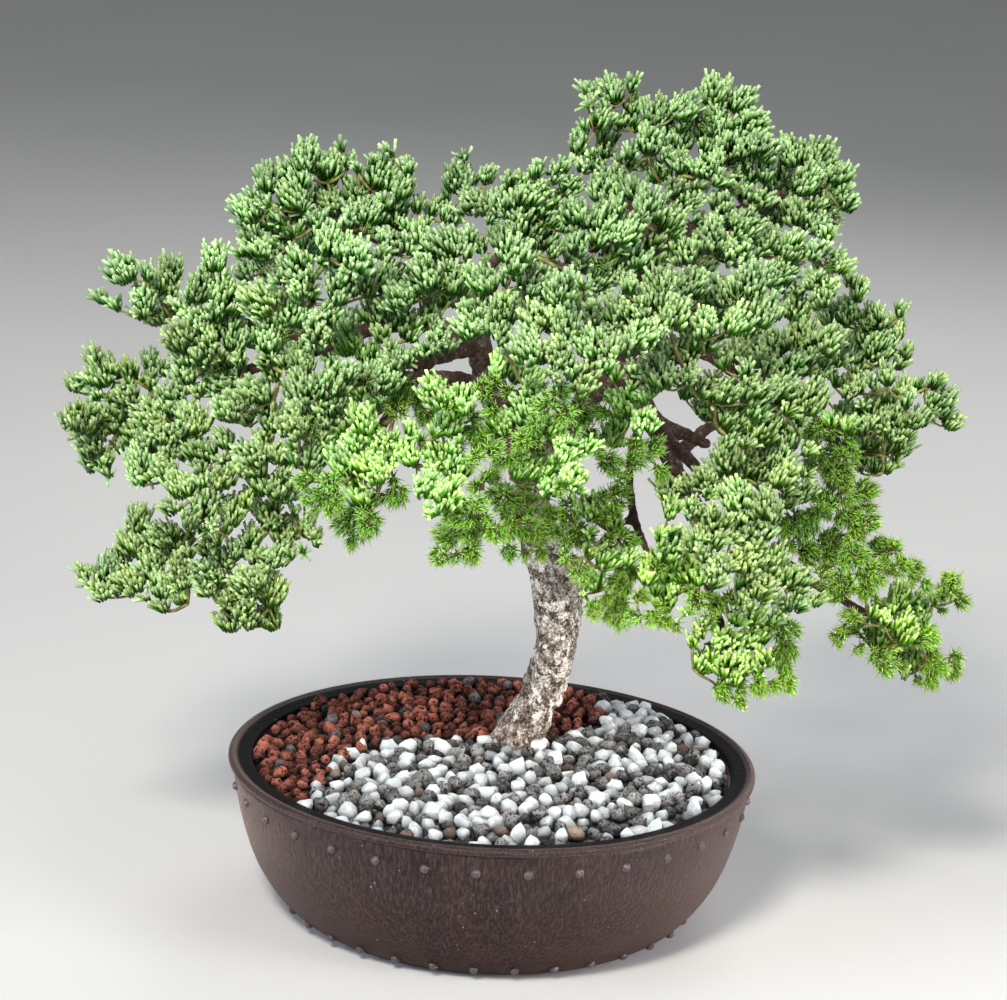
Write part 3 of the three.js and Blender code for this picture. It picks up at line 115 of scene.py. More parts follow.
# The boughs as in the part's source: name, how far behind the upright plane through the pot's axis,
# and each tuft as it is seen square on: across, up and radius
BOUGHS = (
    ("left_tip_high", -12, ((-219, 366, 13), (-207, 350, 12), (-231, 349, 7), (-193, 366, 12),
        (-193, 347, 11))),
    ("left_high", -34, ((-168, 375, 12), (-176, 357, 13), (-158, 352, 14), (-176, 338, 13),
        (-155, 330, 13), (-172, 322, 13), (-187, 328, 12), (-165, 306, 12), (-183, 308, 12))),
    ("left_crown", 4, ((-151, 402, 13), (-140, 420, 12), (-146, 380, 14), (-130, 394, 12),
        (-120, 434, 14), (-106, 428, 13), (-124, 412, 14), (-107, 408, 14))),
    ("second_crown", 14, ((-78, 426, 14), (-65, 420, 11), (-84, 405, 12), (-68, 402, 11),
        (-92, 416, 11))),
    ("left_front", -82, ((-104, 388, 14), (-88, 378, 14), (-72, 368, 13), (-98, 360, 13),
        (-122, 372, 13), (-142, 352, 14), (-124, 347, 13), (-108, 337, 14), (-136, 330, 13),
        (-118, 318, 13))),
    ("left_tip_mid", -4, ((-230, 307, 14), (-244, 298, 8), (-215, 308, 9), (-203, 313, 9),
        (-215, 292, 12))),
    ("left_tip_low", -20, ((-240, 280, 14), (-226, 280, 13), (-249, 277, 8), (-236, 264, 12),
        (-236, 253, 8), (-212, 273, 12))),
    ("left_low_front", -54, ((-190, 293, 13), (-202, 282, 12), (-176, 281, 13), (-192, 270, 12),
        (-208, 254, 13), (-193, 251, 11))),
    ("left_low_mid", -70, ((-174, 262, 12), (-184, 243, 12), (-170, 232, 12), (-155, 228, 12),
        (-160, 248, 11), (-158, 290, 12), (-142, 300, 13), (-134, 284, 12), (-142, 263, 12),
        (-140, 246, 11))),
    ("left_front_low", -108, ((-118, 302, 14), (-104, 288, 14), (-122, 280, 12), (-98, 308, 13),
        (-110, 263, 12))),
    ("left_front_tuft", -128, ((-82, 286, 13), (-72, 274, 12), (-92, 262, 14), (-76, 257, 13),
        (-82, 242, 11), (-90, 228, 10), (-76, 227, 10), (-62, 245, 9), (-108, 240, 9))),
    ("left_under", -50, ((-92, 332, 14), (-78, 322, 12), (-84, 306, 12), (-66, 311, 11),
        (-54, 302, 8))),
    ("left_fan", -16, ((-207, 222, 13), (-192, 214, 12), (-212, 206, 12), (-182, 206, 11),
        (-198, 197, 12), (-224, 190, 13), (-239, 188, 8), (-212, 183, 12), (-228, 178, 9),
        (-194, 182, 11), (-184, 192, 10))),
    ("left_fan_front", -56, ((-166, 207, 12), (-168, 192, 12), (-156, 180, 12), (-144, 188, 13),
        (-130, 182, 13), (-146, 168, 12), (-156, 162, 9), (-131, 166, 10), (-128, 204, 10),
        (-124, 217, 11), (-143, 214, 10), (-137, 229, 10), (-112, 224, 10))),
    ("centre_left_top", 0, ((-34, 426, 13), (-24, 412, 12), (-48, 409, 9), (-56, 394, 10))),
    ("centre_left_front", -72, ((-40, 388, 14), (-51, 371, 14), (-32, 368, 13), (-64, 358, 12),
        (-46, 352, 12), (-77, 349, 12), (-58, 340, 11), (-41, 336, 10))),
    ("centre_top", -30, ((-8, 414, 13), (6, 420, 13), (19, 410, 13), (2, 397, 13), (27, 425, 9))),
    ("centre_front_high", -100, ((0, 384, 14), (12, 370, 13), (-18, 369, 13), (-22, 350, 13),
        (-5, 353, 13))),
    ("centre_front", -138, ((27, 366, 14), (12, 350, 13), (29, 348, 13), (8, 331, 13),
        (25, 330, 13), (40, 316, 13), (43, 336, 12))),
    ("centre_under", -88, ((-6, 321, 12), (-15, 309, 9), (12, 314, 11), (8, 297, 12),
        (-6, 287, 11))),
    ("neck", 25, ((47, 478, 13), (60, 471, 9), (42, 462, 9), (31, 449, 10), (46, 447, 10),
        (53, 433, 8))),
    ("crown_top", 12, ((72, 468, 13), (70, 452, 12), (87, 472, 12), (88, 454, 11), (76, 436, 11),
        (104, 481, 13), (119, 476, 12), (105, 464, 13), (127, 464, 12), (114, 449, 12),
        (132, 452, 12), (135, 439, 11), (122, 435, 10), (102, 440, 11), (97, 426, 10))),
    ("crown_right", 20, ((148, 450, 13), (164, 449, 13), (175, 438, 11), (157, 434, 13),
        (141, 430, 12), (171, 424, 12), (182, 423, 9), (152, 416, 12), (167, 410, 11),
        (135, 412, 11))),
    ("centre_right_high", -48, ((62, 426, 11), (44, 424, 12), (32, 410, 13), (48, 405, 12),
        (72, 416, 13), (84, 408, 12), (60, 400, 12), (52, 385, 12), (67, 387, 12))),
    ("right_high", -42, ((112, 416, 13), (125, 408, 12), (106, 400, 13), (92, 391, 12),
        (120, 392, 13), (138, 400, 12), (153, 396, 12), (146, 380, 13), (166, 395, 9),
        (172, 405, 7), (168, 380, 11))),
    ("right_front_high", -118, ((80, 372, 13), (97, 373, 12), (68, 358, 12), (88, 354, 13),
        (72, 342, 13), (56, 356, 12))),
    ("right_front_mid", -104, ((130, 376, 14), (114, 370, 13), (140, 360, 13), (124, 354, 13),
        (106, 350, 12), (99, 336, 12), (84, 333, 12))),
    ("right_out_mid", -42, ((156, 364, 12), (161, 348, 13), (146, 342, 12), (177, 344, 12),
        (172, 330, 12), (157, 330, 11))),
    ("right_out_high", 0, ((184, 362, 12), (191, 374, 9), (201, 359, 12), (213, 352, 11),
        (204, 342, 12), (220, 341, 8), (190, 338, 11))),
    ("right_tip", -14, ((240, 313, 13), (229, 303, 10), (248, 303, 9), (210, 327, 9),
        (193, 322, 11), (206, 309, 14), (218, 298, 13), (200, 292, 13), (223, 287, 10),
        (206, 278, 12), (188, 303, 11))),
    ("right_centre", -86, ((120, 313, 12), (136, 313, 13), (152, 316, 12), (126, 297, 12),
        (143, 293, 13), (110, 302, 9), (156, 284, 12), (124, 274, 13), (140, 271, 13),
        (157, 265, 12), (112, 262, 11), (169, 257, 10))),
    ("right_lower_front", -112, ((130, 253, 13), (146, 248, 13), (117, 238, 12), (136, 233, 13),
        (154, 215, 13), (168, 205, 12), (150, 199, 11), (136, 216, 12), (140, 202, 11),
        (124, 210, 11))),
    ("right_needles", -30, ((190, 270, 11), (204, 262, 10), (181, 255, 11), (197, 246, 10),
        (172, 240, 11), (184, 287, 10), (186, 230, 12), (200, 222, 12), (174, 223, 11),
        (216, 228, 11), (212, 212, 11), (235, 217, 8))),
    ("right_tail", -16, ((228, 199, 12), (218, 188, 11), (241, 190, 11), (255, 206, 9),
        (263, 199, 7), (232, 178, 12), (246, 176, 10), (218, 173, 11), (204, 182, 9),
        (195, 174, 8), (238, 162, 11), (224, 158, 9), (252, 160, 10), (262, 157, 8))),
    ("centre_hanging", -128, ((-42, 304, 13), (-26, 300, 12), (-34, 287, 11), (-18, 282, 10),
        (-8, 275, 8), (-40, 268, 13), (-27, 262, 11), (-45, 250, 12), (-32, 244, 12),
        (-24, 234, 10), (-32, 223, 10), (-14, 228, 9), (-36, 211, 8), (-18, 212, 8),
        (-4, 226, 8))),
    ("centre_front_low", -124, ((24, 287, 12), (34, 274, 13), (22, 261, 12), (38, 258, 11),
        (8, 263, 11), (-3, 270, 8), (31, 299, 9))),
    ("trunk_needles", -44, ((-2, 247, 12), (12, 243, 11), (3, 228, 9), (20, 226, 9), (26, 238, 9),
        (-9, 259, 9))),
    ("centre_right_low", -66, ((48, 242, 12), (61, 236, 11), (44, 226, 10), (64, 252, 9),
        (70, 226, 9), (60, 212, 11), (52, 200, 11), (68, 200, 10), (64, 186, 9), (54, 183, 8),
        (44, 204, 8))),
    ("right_inner", -94, ((64, 303, 12), (76, 293, 12), (60, 286, 12), (82, 280, 9), (72, 272, 8),
        (42, 296, 8))),
    ("right_hanging", -88, ((94, 220, 13), (84, 206, 12), (105, 208, 12), (94, 191, 11),
        (88, 181, 7), (112, 192, 9), (124, 190, 9), (132, 166, 13), (146, 170, 12),
        (120, 153, 11), (134, 150, 13), (150, 156, 12), (162, 160, 9), (130, 139, 9),
        (151, 142, 8))),
    ("back_left_high", 66, ((-126, 400, 14), (-108, 404, 14), (-116, 386, 14), (-96, 388, 13),
        (-134, 382, 13), (-98, 370, 13))),
    ("back_left_mid", 92, ((-136, 348, 14), (-118, 340, 14), (-104, 330, 13), (-126, 322, 13),
        (-146, 332, 13), (-88, 342, 12))),
    ("back_left_low", 84, ((-112, 300, 14), (-96, 290, 14), (-122, 284, 13), (-104, 274, 12),
        (-140, 296, 12), (-156, 288, 11))),
    ("back_left_far", 44, ((-196, 288, 13), (-180, 280, 13), (-210, 270, 12), (-192, 264, 12),
        (-174, 262, 11), (-180, 312, 11))),
    ("back_centre_left", 100, ((-44, 384, 14), (-52, 366, 14), (-34, 362, 14), (-18, 374, 13),
        (-66, 362, 12))),
    ("back_centre", 126, ((4, 378, 14), (22, 372, 14), (6, 358, 14), (28, 352, 14), (-8, 394, 13),
        (14, 396, 13))),
    ("back_right_high", 88, ((70, 404, 14), (54, 410, 13), (86, 398, 13), (108, 404, 14),
        (122, 396, 13), (104, 386, 13), (78, 384, 12))),
    ("back_right_mid", 112, ((96, 366, 14), (114, 360, 14), (80, 356, 14), (130, 366, 14),
        (98, 348, 13), (134, 350, 13))),
    ("back_right_far", 66, ((162, 350, 14), (180, 346, 13), (170, 334, 12), (198, 346, 12),
        (200, 300, 12))),
    ("back_right_low", 92, ((138, 302, 14), (124, 294, 13), (150, 290, 13), (142, 274, 14),
        (126, 266, 13), (156, 268, 12))),
)

# Small tufts in this scene alone, which close chance gaps beside a bough: across, up and radius
FILLERS = (
    (-71, 309, 13), (-58, 272, 8), (-125, 244, 13), (-98, 239, 10), (-160, 271, 9), (-203, 304, 8),
    (-227, 256, 8), (-18, 342, 7), (56, 335, 10), (83, 320, 13), (100, 320, 9), (69, 323, 9),
    (126, 337, 12), (139, 333, 10), (169, 311, 13), (174, 276, 10), (165, 244, 8), (193, 204, 13),
    (171, 191, 8), (115, 173, 9), (165, 164, 9), (219, 164, 9), (234, 154, 8), (250, 150, 7),
    (47, 373, 11), (33, 392, 10), (60, 377, 9), (58, 270, 10), (46, 285, 8), (92, 255, 11),
    (-16, 243, 8), (25, 252, 9), (37, 223, 8), (140, 191, 9), (69, 186, 8), (-27, 394, 8),
    (-41, 406, 7), (-74, 391, 9), (175, 375, 9), (221, 320, 8), (-151, 368, 9), (21, 435, 7),
    (38, 439, 7), (59, 445, 7), (54, 463, 7), (-189, 230, 8), (-152, 207, 9), (-101, 275, 8),
    (110, 433, 8), (135, 423, 8), (7, 280, 9), (11, 310, 8), (-153, 317, 8), (45, 396, 8),
    (34, 478, 8), (58, 483, 7), (62, 461, 7), (-19, 429, 8), (-5, 426, 9), (8, 433, 8),
    (-63, 432, 8), (-57, 410, 7), (87, 440, 8), (94, 420, 9), (122, 427, 8), (-94, 401, 9),
    (-110, 399, 8), (-68, 387, 11), (-137, 367, 9), (-120, 360, 9), (-83, 363, 9), (-21, 390, 9),
    (21, 389, 9), (37, 381, 9), (40, 359, 9), (55, 346, 8), (63, 371, 8), (-206, 365, 8),
    (-209, 341, 7), (-223, 346, 7), (-189, 347, 7), (-27, 342, 11), (-7, 340, 10), (-40, 332, 8),
    (-74, 336, 8), (-68, 319, 9), (-82, 313, 8), (-64, 296, 10), (-47, 292, 9), (-55, 266, 9),
    (-138, 318, 8), (-102, 319, 8), (-234, 317, 7), (-233, 294, 7), (-148, 283, 7), (-176, 298, 7),
    (-128, 264, 10), (-100, 250, 9), (-114, 251, 8), (-207, 245, 6), (-178, 223, 9), (-141, 231, 7),
    (-119, 232, 6), (-108, 218, 8), (-169, 182, 8), (-183, 176, 7), (-193, 171, 7), (20, 302, 10),
    (53, 325, 8), (76, 309, 8), (110, 314, 9), (114, 302, 8), (118, 331, 8), (131, 327, 8),
    (145, 328, 8), (158, 305, 8), (172, 294, 10), (198, 297, 8), (170, 369, 10), (165, 378, 8),
    (180, 388, 8), (215, 365, 7), (198, 332, 7), (223, 314, 8), (237, 326, 8), (193, 284, 8),
    (183, 271, 8), (216, 274, 7), (193, 257, 8), (207, 243, 9), (160, 237, 9), (223, 229, 7),
    (229, 220, 6), (258, 212, 7), (200, 187, 8), (220, 185, 7), (208, 202, 7), (263, 166, 6),
    (109, 226, 10), (89, 228, 7), (94, 243, 9), (116, 253, 7), (87, 266, 7), (65, 262, 7),
    (37, 237, 9), (35, 246, 7), (-17, 252, 7), (11, 253, 7), (-41, 235, 7), (4, 215, 7),
    (22, 215, 6), (73, 213, 8), (80, 192, 7), (69, 177, 7), (119, 209, 7), (132, 194, 8),
    (146, 184, 8), (163, 190, 7), (167, 178, 8), (167, 145, 9), (141, 132, 6), (46, 278, 7),
    (51, 299, 7), (-19, 292, 6),
    (-115, 399, 7), (-127, 390, 6), (85, 427, 9), (24, 437, 7), (19, 429, 6), (-95, 433, 7),
    (-76, 383, 7), (-59, 385, 6), (-28, 385, 7), (43, 355, 8), (39, 370, 6), (110, 339, 7),
    (98, 312, 7), (107, 302, 7), (28, 310, 8), (39, 304, 7), (-62, 302, 8), (-58, 308, 7),
    (-78, 312, 7), (-56, 282, 7), (-63, 324, 9), (-49, 328, 8), (-36, 331, 7), (-91, 314, 8),
    (192, 297, 8), (180, 300, 7), (203, 299, 6), (164, 298, 6), (182, 323, 7), (217, 334, 6),
    (169, 282, 7), (214, 285, 7), (-172, 250, 7), (-132, 365, 6), (-114, 368, 6), (-113, 356, 6),
    (160, 251, 8), (151, 233, 7), (122, 226, 8), (122, 202, 8), (99, 196, 6), (136, 180, 7),
    (121, 179, 6), (158, 181, 7), (180, 194, 7), (190, 244, 6), (225, 216, 7), (215, 187, 6),
    (255, 213, 6), (242, 207, 6), (-158, 201, 7), (-178, 204, 6), (-178, 187, 7), (-172, 218, 6),
    (-157, 219, 6), (-95, 280, 6), (-107, 254, 6), (-200, 338, 7), (-203, 301, 6), (-121, 206, 6),
    (-106, 214, 6), (-86, 216, 6), (30, 228, 7), (16, 233, 6), (61, 226, 6), (105, 247, 6),
    (47, 192, 6),
    (36, 471, 6), (62, 439, 7), (33, 437, 7), (45, 439, 5), (-15, 405, 7), (-36, 403, 6),
    (-140, 407, 5), (25, 401, 5), (99, 410, 6), (135, 393, 6), (186, 381, 7), (174, 359, 8),
    (184, 334, 6), (189, 316, 8), (161, 294, 7), (44, 350, 7), (64, 335, 7), (58, 319, 6),
    (24, 318, 7), (29, 384, 6), (-6, 371, 6), (-134, 311, 8), (-158, 302, 6), (-75, 298, 8),
    (-195, 310, 7), (-65, 264, 7), (-50, 279, 6), (-17, 270, 7), (-120, 261, 6), (-130, 234, 7),
    (-133, 223, 6), (-166, 221, 6), (-178, 216, 6), (-141, 202, 8), (-156, 198, 6), (-173, 245, 6),
    (56, 250, 7), (105, 241, 6), (153, 243, 8), (201, 236, 8), (163, 227, 6), (114, 218, 7),
    (114, 203, 7), (74, 206, 7), (50, 216, 7), (36, 214, 7), (77, 180, 7), (95, 178, 7),
    (112, 166, 7), (199, 274, 7), (134, 284, 6), (144, 261, 6), (91, 339, 6), (-73, 440, 6),
    (-100, 441, 5), (-91, 430, 6), (-32, 439, 5), (-226, 249, 6), (-210, 245, 6), (248, 198, 6),
)

# Boughs of spiky young needles, and boughs where only the small tufts are spiky
NEEDLE_BOUGHS = {"right_needles", "trunk_needles"}
MIXED_BOUGHS = {
    "left_front_tuft", "left_under", "centre_under", "right_tail", "centre_hanging",
    "centre_right_low", "right_hanging", "right_inner", "centre_front_low",
}

# The red stones' outline: the back left of the pot, round behind the trunk
LAVA_EDGE = (
    (-150, -92), (-106, -92), (-101, -72), (-95, -44), (-87, -18), (-75, 2), (-52, 18), (-28, 26),
    (-10, 22), (0, 15), (14, 14), (28, 22), (36, 34), (46, 40), (58, 58), (63, 90), (62, 150),
    (-150, 150),
)

Array = np.ndarray
Course = Sequence[Sequence[float]]
Inputs = dict[str | int, object] | Sequence[object]

# The kinds of node that are added most
MATH, VECTOR_MATH, RANGE = "ShaderNodeMath", "ShaderNodeVectorMath", "ShaderNodeMapRange"
NOISE, CELLS, ATTRIBUTE = "ShaderNodeTexNoise", "ShaderNodeTexVoronoi", "ShaderNodeAttribute"
MIX, BUMP, MAPPING = "ShaderNodeMix", "ShaderNodeBump", "ShaderNodeMapping"
SPLIT, COMBINE = "ShaderNodeSeparateXYZ", "ShaderNodeCombineXYZ"
INSTANCES, JOIN = "GeometryNodeInstanceOnPoints", "GeometryNodeJoinGeometry"
COMPARE, RANDOM = "FunctionNodeCompare", "FunctionNodeRandomValue"

# The camera stands this far in front of the pot's axis and this high, in millimetres
EYE_FRONT, EYE_UP = 1800, 722


class Shoot(Enum):
    """The two kinds of growth on this juniper."""

    SCALE = "scale"
    NEEDLE = "needle"


# Helpers for colours, node trees and meshes


def linear(hex_colour: str) -> tuple[float, float, float, float]:
    """Turns an sRGB hex colour to linear light.

    Args:
        hex_colour: six hex digits.

    Returns:
        Red, green, blue and an alpha of 1.
    """
    parts = [int(hex_colour[k:k + 2], 16) / 255 for k in (0, 2, 4)]
    light = [p / 12.92 if p <= 0.04045 else ((p + 0.055) / 1.055) ** 2.4 for p in parts]
    return (*light, 1.0)


def per_metre(size_mm: float) -> float:
    """Gives a texture's scale on metre coordinates for a pattern of that size in millimetres."""
    return 1.0 / (size_mm * METRE)


def feed(node: Node, inputs: Inputs) -> None:
    """Fills a node's inputs with values, or links them where a socket is given.

    Args:
        node: the node.
        inputs: what each input gets, by name or number, or in order with None for one left alone;
            a list of sockets links them all.
    """
    for key, value in inputs.items() if isinstance(inputs, dict) else enumerate(inputs):
        for item in value if isinstance(value, list) else [value]:
            if isinstance(item, NodeSocket):
                node.id_data.links.new(item, node.inputs[key])
            elif item is not None:
                node.inputs[key].default_value = item


def add_node(
    tree: NodeTree, kind: str, inputs: Inputs = (), out: str | int = 0, **settings: object
) -> NodeSocket:
    """Adds a node with its settings and fills its inputs.

    Args:
        tree: the node tree.
        kind: the node's type name.
        inputs: what its inputs get, as feed takes it.
        out: the name or number of the output that is wanted.
        **settings: the node's own properties.

    Returns:
        That output of the new node.
    """
    node = tree.nodes.new(kind)
    for name, value in settings.items():
        setattr(node, name, value)
    feed(node, inputs)
    return node.outputs[out]


def ring_faces(rings: int, sides: int) -> list[tuple[int, ...]]:
    """Gives the faces between rings of points that follow each other.

    Args:
        rings: how many rings.
        sides: how many points each ring has.

    Returns:
        The point numbers of each face.
    """
    starts = [(ring * sides, k, (k + 1) % sides) for ring in range(rings - 1) for k in range(sides)]
    return [(low + a, low + b, low + sides + b, low + sides + a) for low, a, b in starts]


def write_attribute(mesh: Mesh, name: str, values: object, kind: str = "FLOAT") -> None:
    """Writes a value for each point of a mesh.

    Args:
        mesh: the mesh.
        name: the attribute's name.
        values: a number or a vector for each point.
        kind: the attribute's data type.
    """
    attribute = mesh.attributes.new(name, kind, "POINT")
    flat = np.array(values, np.int32 if kind == "INT" else np.float32).ravel()
    attribute.data.foreach_set("vector" if kind == "FLOAT_VECTOR" else "value", flat)


def read_rows(mesh: Mesh, what: str) -> Array:
    """Reads a vector of each point of a mesh.

    Args:
        mesh: the mesh.
        what: co for the places in metres, or normal.

    Returns:
        One row for each point.
    """
    flat = np.empty(len(mesh.vertices) * 3, np.float32)
    mesh.vertices.foreach_get(what, flat)
    return flat.reshape(-1, 3).astype(float)


def curve_frames(points: Array) -> tuple[Array, Array]:
    """Finds two directions across a course at each of its points, with no sudden twist.

    Args:
        points: the course's points, one row each.

    Returns:
        The two directions, one row for each point.
    """
    along = np.gradient(points, axis=0)
    along /= np.linalg.norm(along, axis=1)[:, None]
    side = np.array((1.0, 0.0, 0.0)) if abs(along[0][2]) > 0.9 else np.array((0.0, 0.0, 1.0))
    firsts = []
    for direction in along:
        side = side - direction * float(side @ direction)
        side = side / np.linalg.norm(side)
        firsts.append(side)
    first = np.array(firsts)
    return first, np.cross(along, first)


def smooth_course(stations: Course, step: float) -> Array:
    """Runs a smooth curve through stations of place and radius.

    Args:
        stations: across, back, up and radius of each station.
        step: the distance between the points of the curve.

    Returns:
        Rows of across, back, up and radius.
    """
    given = np.array(stations, float)
    padded = np.vstack((2 * given[0] - given[1], given, 2 * given[-1] - given[-2]))
    rows = []
    for k in range(1, len(padded) - 2):
        a, b, c, d = padded[k - 1:k + 3]
        count = max(2, int(np.linalg.norm(c[:3] - b[:3]) / step))
        for t in np.arange(count) / count:
            rows.append(0.5 * (2 * b + (c - a) * t + (2 * a - 5 * b + 4 * c - d) * t * t
                               + (3 * b - a - 3 * c + d) * t ** 3))
    rows.append(given[-1])
    return np.array(rows)


@dataclass
class MeshBuilder:
    """Gathers points and faces, and makes one mesh."""

    points: list[Array] = field(default_factory=list)
    faces: list[tuple[int, ...]] = field(default_factory=list)
    count: int = 0

    def add(self, points: Array, faces: Iterable[Sequence[int]]) -> None:
        """Adds a closed shape.

        Args:
            points: one row for each point, in millimetres.
            faces: the faces' point numbers within this shape.
        """
        self.points.append(np.asarray(points, float))
        self.faces.extend(tuple(self.count + k for k in face) for face in faces)
        self.count += len(points)

    def tube(self, course: Array, sides: int) -> None:
        """Adds a closed tube.

        Args:
            course: rows of across, back, up and radius.
            sides: how many sides the tube has.
        """
        first, second = curve_frames(course[:, :3])
        angles = np.arange(sides) * 2 * math.pi / sides
        across = first[:, None] * np.cos(angles)[None, :, None]
        across = across + second[:, None] * np.sin(angles)[None, :, None]
        points = course[:, None, :3] + across * course[:, None, 3:4]
        last = (len(course) - 1) * sides
        ends = [tuple(reversed(range(sides))), tuple(range(last, last + sides))]
        self.add(points.reshape(-1, 3), ring_faces(len(course), sides) + ends)

    def mesh(self, name: str) -> Mesh:
        """Makes the mesh, in metres."""
        mesh = bpy.data.meshes.new(name)
        mesh.from_pydata((np.vstack(self.points) * METRE).tolist(), [], self.faces)
        return mesh


def new_object(name: str, mesh: Mesh, *finishes: Material) -> Object:
    """Puts a mesh in the scene, with its materials.

    Args:
        name: the object's name.
        mesh: its mesh.
        *finishes: its materials in order.

    Returns:
        The new object.
    """
    piece = bpy.data.objects.new(name, mesh)
    bpy.context.scene.collection.objects.link(piece)
    for finish in finishes:
        mesh.materials.append(finish)
    return piece


def add_modifier_tree(piece: Object, tree: NodeTree, values: dict[str, object]) -> None:
    """Gives an object a Geometry Nodes modifier and sets its inputs by their identifiers.

    Args:
        piece: the object.
        tree: the geometry tree.
        values: a value for each named input.
    """
    modifier = piece.modifiers.new(tree.name, "NODES")
    modifier.node_group = tree
    for item in tree.interface.items_tree:
        if item.item_type == "SOCKET" and item.in_out == "INPUT" and item.name in values:
            modifier[item.identifier] = values[item.name]


def settle(piece: Object, drop: Sequence[str] = ()) -> None:
    """Turns an object's modifiers into its plain mesh.

    Args:
        piece: the object.
        drop: attributes that only the modifiers needed.
    """
    bpy.context.view_layer.update()
    graph = bpy.context.evaluated_depsgraph_get()
    mesh = bpy.data.meshes.new_from_object(piece.evaluated_get(graph))
    piece.modifiers.clear()
    piece.data = mesh
    for name in drop:
        found = mesh.attributes.get(name)
        if found is not None:
            mesh.attributes.remove(found)


def geometry_tree(
    name: str, kinds: dict[str, str]
) -> tuple[NodeTree, dict[str, NodeSocket], Node]:
    """Starts a Geometry Nodes tree with named inputs.

    Args:
        name: the tree's name.
        kinds: the kind of each input by its name.

    Returns:
        The tree, its inputs by name with the geometry among them, and its group output.
    """
    tree = bpy.data.node_groups.new(name, "GeometryNodeTree")
    for label, kind in {"Geometry": "Geometry", **kinds}.items():
        tree.interface.new_socket(label, in_out="INPUT", socket_type="NodeSocket" + kind)
    tree.interface.new_socket("Geometry", in_out="OUTPUT", socket_type="NodeSocketGeometry")
    given = tree.nodes.new("NodeGroupInput").outputs
    return tree, {socket.name: socket for socket in given}, tree.nodes.new("NodeGroupOutput")


def dressed(tree: NodeTree, shapes: NodeSocket, finish: NodeSocket) -> NodeSocket:
    """Makes instances real and gives them their material, as every tree ends.

    Args:
        tree: the geometry tree.
        shapes: the instances.
        finish: the material.

    Returns:
        The finished geometry.
    """
    real = add_node(tree, "GeometryNodeRealizeInstances", [shapes])
    return add_node(tree, "GeometryNodeSetMaterial", {"Geometry": real, "Material": finish})


def seat(piece: Object, node: str) -> None:
    """Fixes a finished piece to the frame in the place of its CAD node.

    Args:
        piece: the finished piece.
        node: the CAD node that it stands for.
    """
    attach(piece, BODY)
    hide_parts(node)
    LOG.info("%s: %d faces", piece.name, len(piece.data.polygons))


# Finishes


def start_material(name: str) -> tuple[Material, NodeTree, Node, NodeSocket]:
    """Starts a material with its shader and object coordinates.

    Args:
        name: the material's name.

    Returns:
        The material, its tree, its shader node and the coordinate socket.
    """
    material = bpy.data.materials.new(name)
    material.use_nodes = True
    tree = material.node_tree
    tree.nodes.clear()
    shader = tree.nodes.new("ShaderNodeBsdfPrincipled")
    feed(tree.nodes.new("ShaderNodeOutputMaterial"), {"Surface": shader.outputs["BSDF"]})
    return material, tree, shader, add_node(tree, "ShaderNodeTexCoord", out="Object")


def lay_coats(
    tree: NodeTree, colour: object, *coats: tuple[NodeSocket, float, float, float, object]
) -> NodeSocket:
    """Lays colours over a first one; each is a hex colour or a socket.

    Args:
        tree: the node tree.
        colour: the first colour.
        *coats: for each coat the value that drives it, the value where it starts and the one where
            it is full, how much it covers then, and its colour.

    Returns:
        The colour with all its coats.
    """
    for value, start, full, cover, coat in coats:
        share = add_node(tree, RANGE, [value, start, full, 0.0, cover])
        under, over = (linear(c) if isinstance(c, str) else c for c in (colour, coat))
        colour = add_node(tree, MIX, {0: share, 6: under, 7: over}, 2, data_type="RGBA")
    return colour


